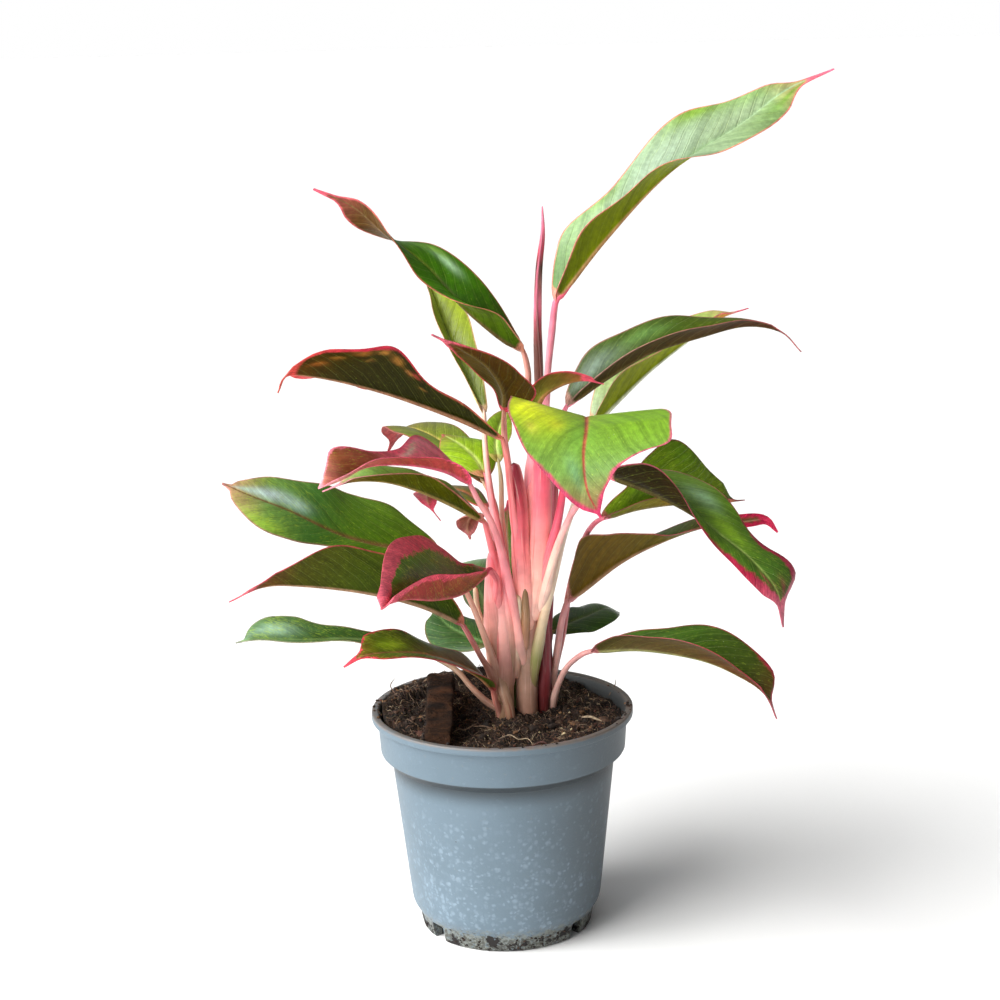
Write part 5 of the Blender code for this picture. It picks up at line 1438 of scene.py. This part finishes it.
leaf("leaf_27_dark_back_left", heart=LEFT_HEART,
     rib=((-6, 14, 129), (-16, 26, 130), (-26, 40, 132), (-32, 52, 138)), up=((0, -0.5, 0.8),),
     widths=((8, 12, 12, 8),), folds=((0,),), upper="2E4A20 34502A 385630", under="38502A 3E5830",
     rim="5A5A34 6A5038", midrib="5A7844", band=(-3, -1),
     stalk=((-4, 10, 125), (-1, 3, 115), (0, 0, 108)), girth=(1.2, 1.5, 2.0, 2.2),
     stalk_tones="90705A B08872 AC8470")
leaf("leaf_28_narrow_back_left", heart=LEFT_HEART,
     rib=((-6, 8, 142), (-8, 9, 152), (-11, 10, 161), (-13, 11, 168)), up=((0, -0.9, 0.3),),
     widths=((4, 7, 7, 4),), folds=((0,),), upper="36542E 3C5C36 44643C", under="3E5830 446038",
     rim="5A5A3A 70503C", midrib="64804C", band=(-3, -1),
     stalk=((-3, 6, 134), (-1, 2, 124), (0, 0, 115)), girth=(1.2, 1.5, 2.0, 2.2),
     stalk_tones="80705A A88470 B08872")
leaf("leaf_29_small_tip_left", heart=LEFT_HEART,
     rib=((-7, 10, 191), (-12, 17, 190), (-14, 22, 184), (-13, 25, 177)), widths=((3, 5, 5, 3),),
     folds=((10,),), upper="6A6028 7A5434 A06058", under="74542E 8A5444 B07068",
     rim="B06A60 C07070", midrib="B08068", band=(-1, 3),
     stalk=((-4, 5, 183), (-1, 1, 174), (-1, -1, 166)), girth=(1.0, 1.2, 1.6, 1.8),
     stalk_tones="B07068 D88484 F09090")
leaf("leaf_31_back_left", heart=LEFT_HEART,
     rib=((-9, 20, 159), (-18, 44, 157), (-29, 72, 149), (-37, 100, 135)),
     widths=((12, 20, 18, 9),), folds=((15,),),
     stalk=((-6, 15, 153), (0, 11, 143), (1, 4, 134), (0, 0, 126)),
     girth=(1.3, 1.5, 1.7, 2.0, 2.2), stalk_tones="D08C84 D8988C C89480 B88E78", **BACK_LEAF)
leaf("leaf_32_back_middle", heart=LEFT_HEART,
     rib=((4, 16, 157), (4, 22, 167), (4, 28, 180), (5, 34, 193)), up=((0, -0.9, 0.3),),
     widths=((4, 5, 5, 3),), folds=((0,),), stalk=((4, 10, 145), (3, 4, 133), (1, 0, 124)),
     girth=(1.1, 1.3, 1.8, 2.0), stalk_tones="D0948C C89080 B88E78", **BACK_LEAF)


# Stems with their sheaths and stalks
def join_shoot(name, heart, finish, stems):
    """Join a shoot's stems and sheaths with the stalks of the leaves that it carries."""
    stalks = [petiole(spec) for spec in LEAVES.values() if spec["heart"] == heart]
    shoot = join(stems + stalks, name + "_stalks")
    hand_over(shoot, name + "_stalks", [finish], "pink_stem", name)


def build_right_shoot(finish):
    """The taller shoot: overlapping rose sheaths that open into the stalks of its leaves."""
    join_shoot("right_shoot", RIGHT_HEART, finish, [
        stalk([(11.5, 2, 78), (11.5, 2, 106), (12, 2, 130), (13, 2, 146), (15, 2.5, 163),
               (17, 3, 182), (18, 3, 205), (19, 2, 228), (18, 2, 241)],
              (4.8, 4.9, 4.8, 4.9, 6.0, 6.1, 5.8, 4.8, 2.6),
              "A87A64 B08470 B08A76 D09486 FCB0A0 FC9C98 F08088 DC6474", around=28),
        # The free sheath in front, dark crimson at its rounded top.
        stalk([(12, -1, 141), (11, -2.4, 159), (10, -2.8, 178), (10, -2.8, 197), (9, -2.8, 210),
               (8, -2.6, 217)], (3.2, 3.9, 3.8, 3.5, 3.1, 2.4),
              "FCC0B0 FFB0A4 F88C8C E46470 B83848 7E2030", 1.15, around=20, flank="F8B4B0"),
        # The broad sheath at the right, hot pink above and coral below.
        stalk([(14, 0, 146), (17, -0.6, 164), (19, -1, 184), (20, -1, 204), (20.5, -1, 222),
               (21, 0, 236)], (4.2, 4.6, 4.3, 4.2, 3.6, 2.4),
              "FFC4B4 FFBCAC FF9C98 F06878 D84460 C04860", 1.2, around=20, flank="F6A8A4"),
        stalk([(15, 3, 150), (20, 3, 170), (24, 4, 192), (25.5, 5, 212), (26, 6, 226)],
              (3.2, 3.6, 3.0, 2.4, 1.6), "EFA59A EE8C8C D86474 B85058 A85A58", 1.1),
        # Cut stubs of old leaves.
        stalk([(8, -3.4, 140), (8, -4.8, 150), (8.2, -5.0, 157)], (1.6, 2.1, 1.9),
              "E0A898 E8B8A4 F0DCC0 E8CBA8"),
        stalk([(11, -3.0, 132), (11.4, -4.6, 145), (11.6, -5.2, 157), (11.4, -5.0, 161)],
              (1.7, 2.2, 2.0, 1.2), "B88874 A87858 94704C 8A6A48"),
        stalk([(7, -0.5, 118), (7.4, -2.6, 130), (7.6, -3.2, 140), (7.6, -3.2, 143)],
              (1.6, 2.1, 2.0, 1.5), "C09480 C89C88 ECD4B8 E4C8A4"),
        stalk([(7, 5, 100), (7, 5, 126), (7, 5, 141)], (1.9, 1.9, 1.2), "4A5022 56602A 6A6A34"),
        # Red-brown skin behind at the right.
        stalk([(18, 5, 92), (19.5, 4, 112), (20.5, 4, 132), (21, 5, 146)], (2.4, 2.6, 2.3, 1.2),
              "5A2420 70262A 8A2A34 98404A", 1.15),
        stalk([(20, 8, 243.0), (19, 5, 232), (18, 2, 220)], (2.0, 2.2, 2.8),
              "7A3A3A C05868 E06C80")])


def build_left_shoot(finish):
    """The shorter shoot: rose above, tan below, with thin stalks leaving it all round."""
    join_shoot("left_shoot", LEFT_HEART, finish, [
        stalk([(1, -2, 78), (1, -2, 110), (1, -2, 126), (0, -2, 146), (-1, -2, 162),
               (-1, -1, 176)], (4.0, 4.3, 4.7, 5.3, 4.7, 2.6),
              "80604A 8A6A52 9C785E D49488 FCB4AA F89C9C EC8288", around=28),
        stalk([(-1.5, -1, 112), (-2.6, -3, 130), (-3, -4, 150), (-3.2, -3.6, 166), (-3, -3, 177)],
              (2.8, 3.6, 3.9, 3.2, 1.8), "84644C 9A7458 D89084 F28E8E E0606E", 1.15, around=20,
              flank="F4B0A8"),
        stalk([(3.2, -1, 114), (4, -3.2, 132), (3.4, -3.6, 150), (2.4, -3.2, 166), (1.4, -3, 174)],
              (2.4, 2.9, 3.0, 2.4, 1.5), "8A6A52 A87E66 E49C90 F2969C E88088", 1.15, around=20,
              flank="F6B8B0"),
        # A tan strap of old sheath crosses to the foot of the right-hand stem.
        stalk([(-1, -4, 123), (1, -6.2, 113), (3, -6.2, 106), (4, -6, 98)], (1.6, 1.9, 1.9, 1.8),
              "B08A70 B08A70 A88268 94705A", 1.25),
        stalk([(-11, 4, 159), (-10, 3, 149), (-7, 1, 140), (-5, -1, 130), (-2, -2, 119)],
              (1.2, 1.3, 1.4, 1.7, 2.4), "DCC0A0 D8B89C D4AC94 C89C88 B08872")])


def build_side_shoot(finish):
    """The small shoot behind at the right, in a maroon sheath, with four thin stalks."""
    join_shoot("side_shoot", SIDE_HEART, finish, [
        stalk([(22, 8, 78), (22, 8, 98), (22, 8, 109)], (2.8, 2.9, 2.0), "8A5A4C A07060 A86A60"),
        stalk([(22, 8, 96), (21, 9, 118), (22, 10, 137), (24, 11, 153)], (2.6, 2.6, 1.9, 1.0),
              "6A2A24 7A2630 8A2A3A A04450", 1.1)])


def build_spear(finish):
    """The newest leaf, rolled into a spear: brown below, pink above, its free edge winding."""
    roll = stalk([(20, 8, 243), (20, 8, 258), (20, 8, 281), (21, 8, 303), (23, 8, 319),
                  (23, 8, 331)], (2.0, 2.1, 1.9, 1.7, 1.3, 0.35),
                 "6A4038 70483E 74483E 6E4038 A85058 D8708A 8A4A4C 4A2C26 C8405A E8708A E88098",
                 around=24, step=1.2)
    edge = stalk([(21.4, 6.6, 244), (20.9, 6.2, 262), (19.8, 6.3, 282), (20.2, 6.6, 300),
                  (22.4, 6.8, 316), (23.1, 7.7, 326)], (0.7, 0.6, 0.55, 0.6, 0.5, 0.2),
                 "7A5048 6E443C 7A4A48 C8687E A85064 E88098")
    spear = join([roll, edge], "rolled_spear")
    hand_over(spear, "rolled_spear", [finish], "rolled_leaf", "leaf_02_rolled_spear")


def build_plant():
    finish = stalk_finish()
    build_right_shoot(finish)
    build_left_shoot(finish)
    build_side_shoot(finish)
    build_spear(finish)
    faces = [leaf_finish("glossy_leaf_face", "upper", 0.24, 0.3, 0.2, 0.3, 0.55),
             leaf_finish("satin_leaf_back", "lower", 0.36, 0.1, 0.14, 0.1, 0.2)]
    for name, spec in LEAVES.items():
        build_blade(name, spec, faces)


set_camera()
set_light()
build_floor()
build_pot()
build_peat()
build_plant()
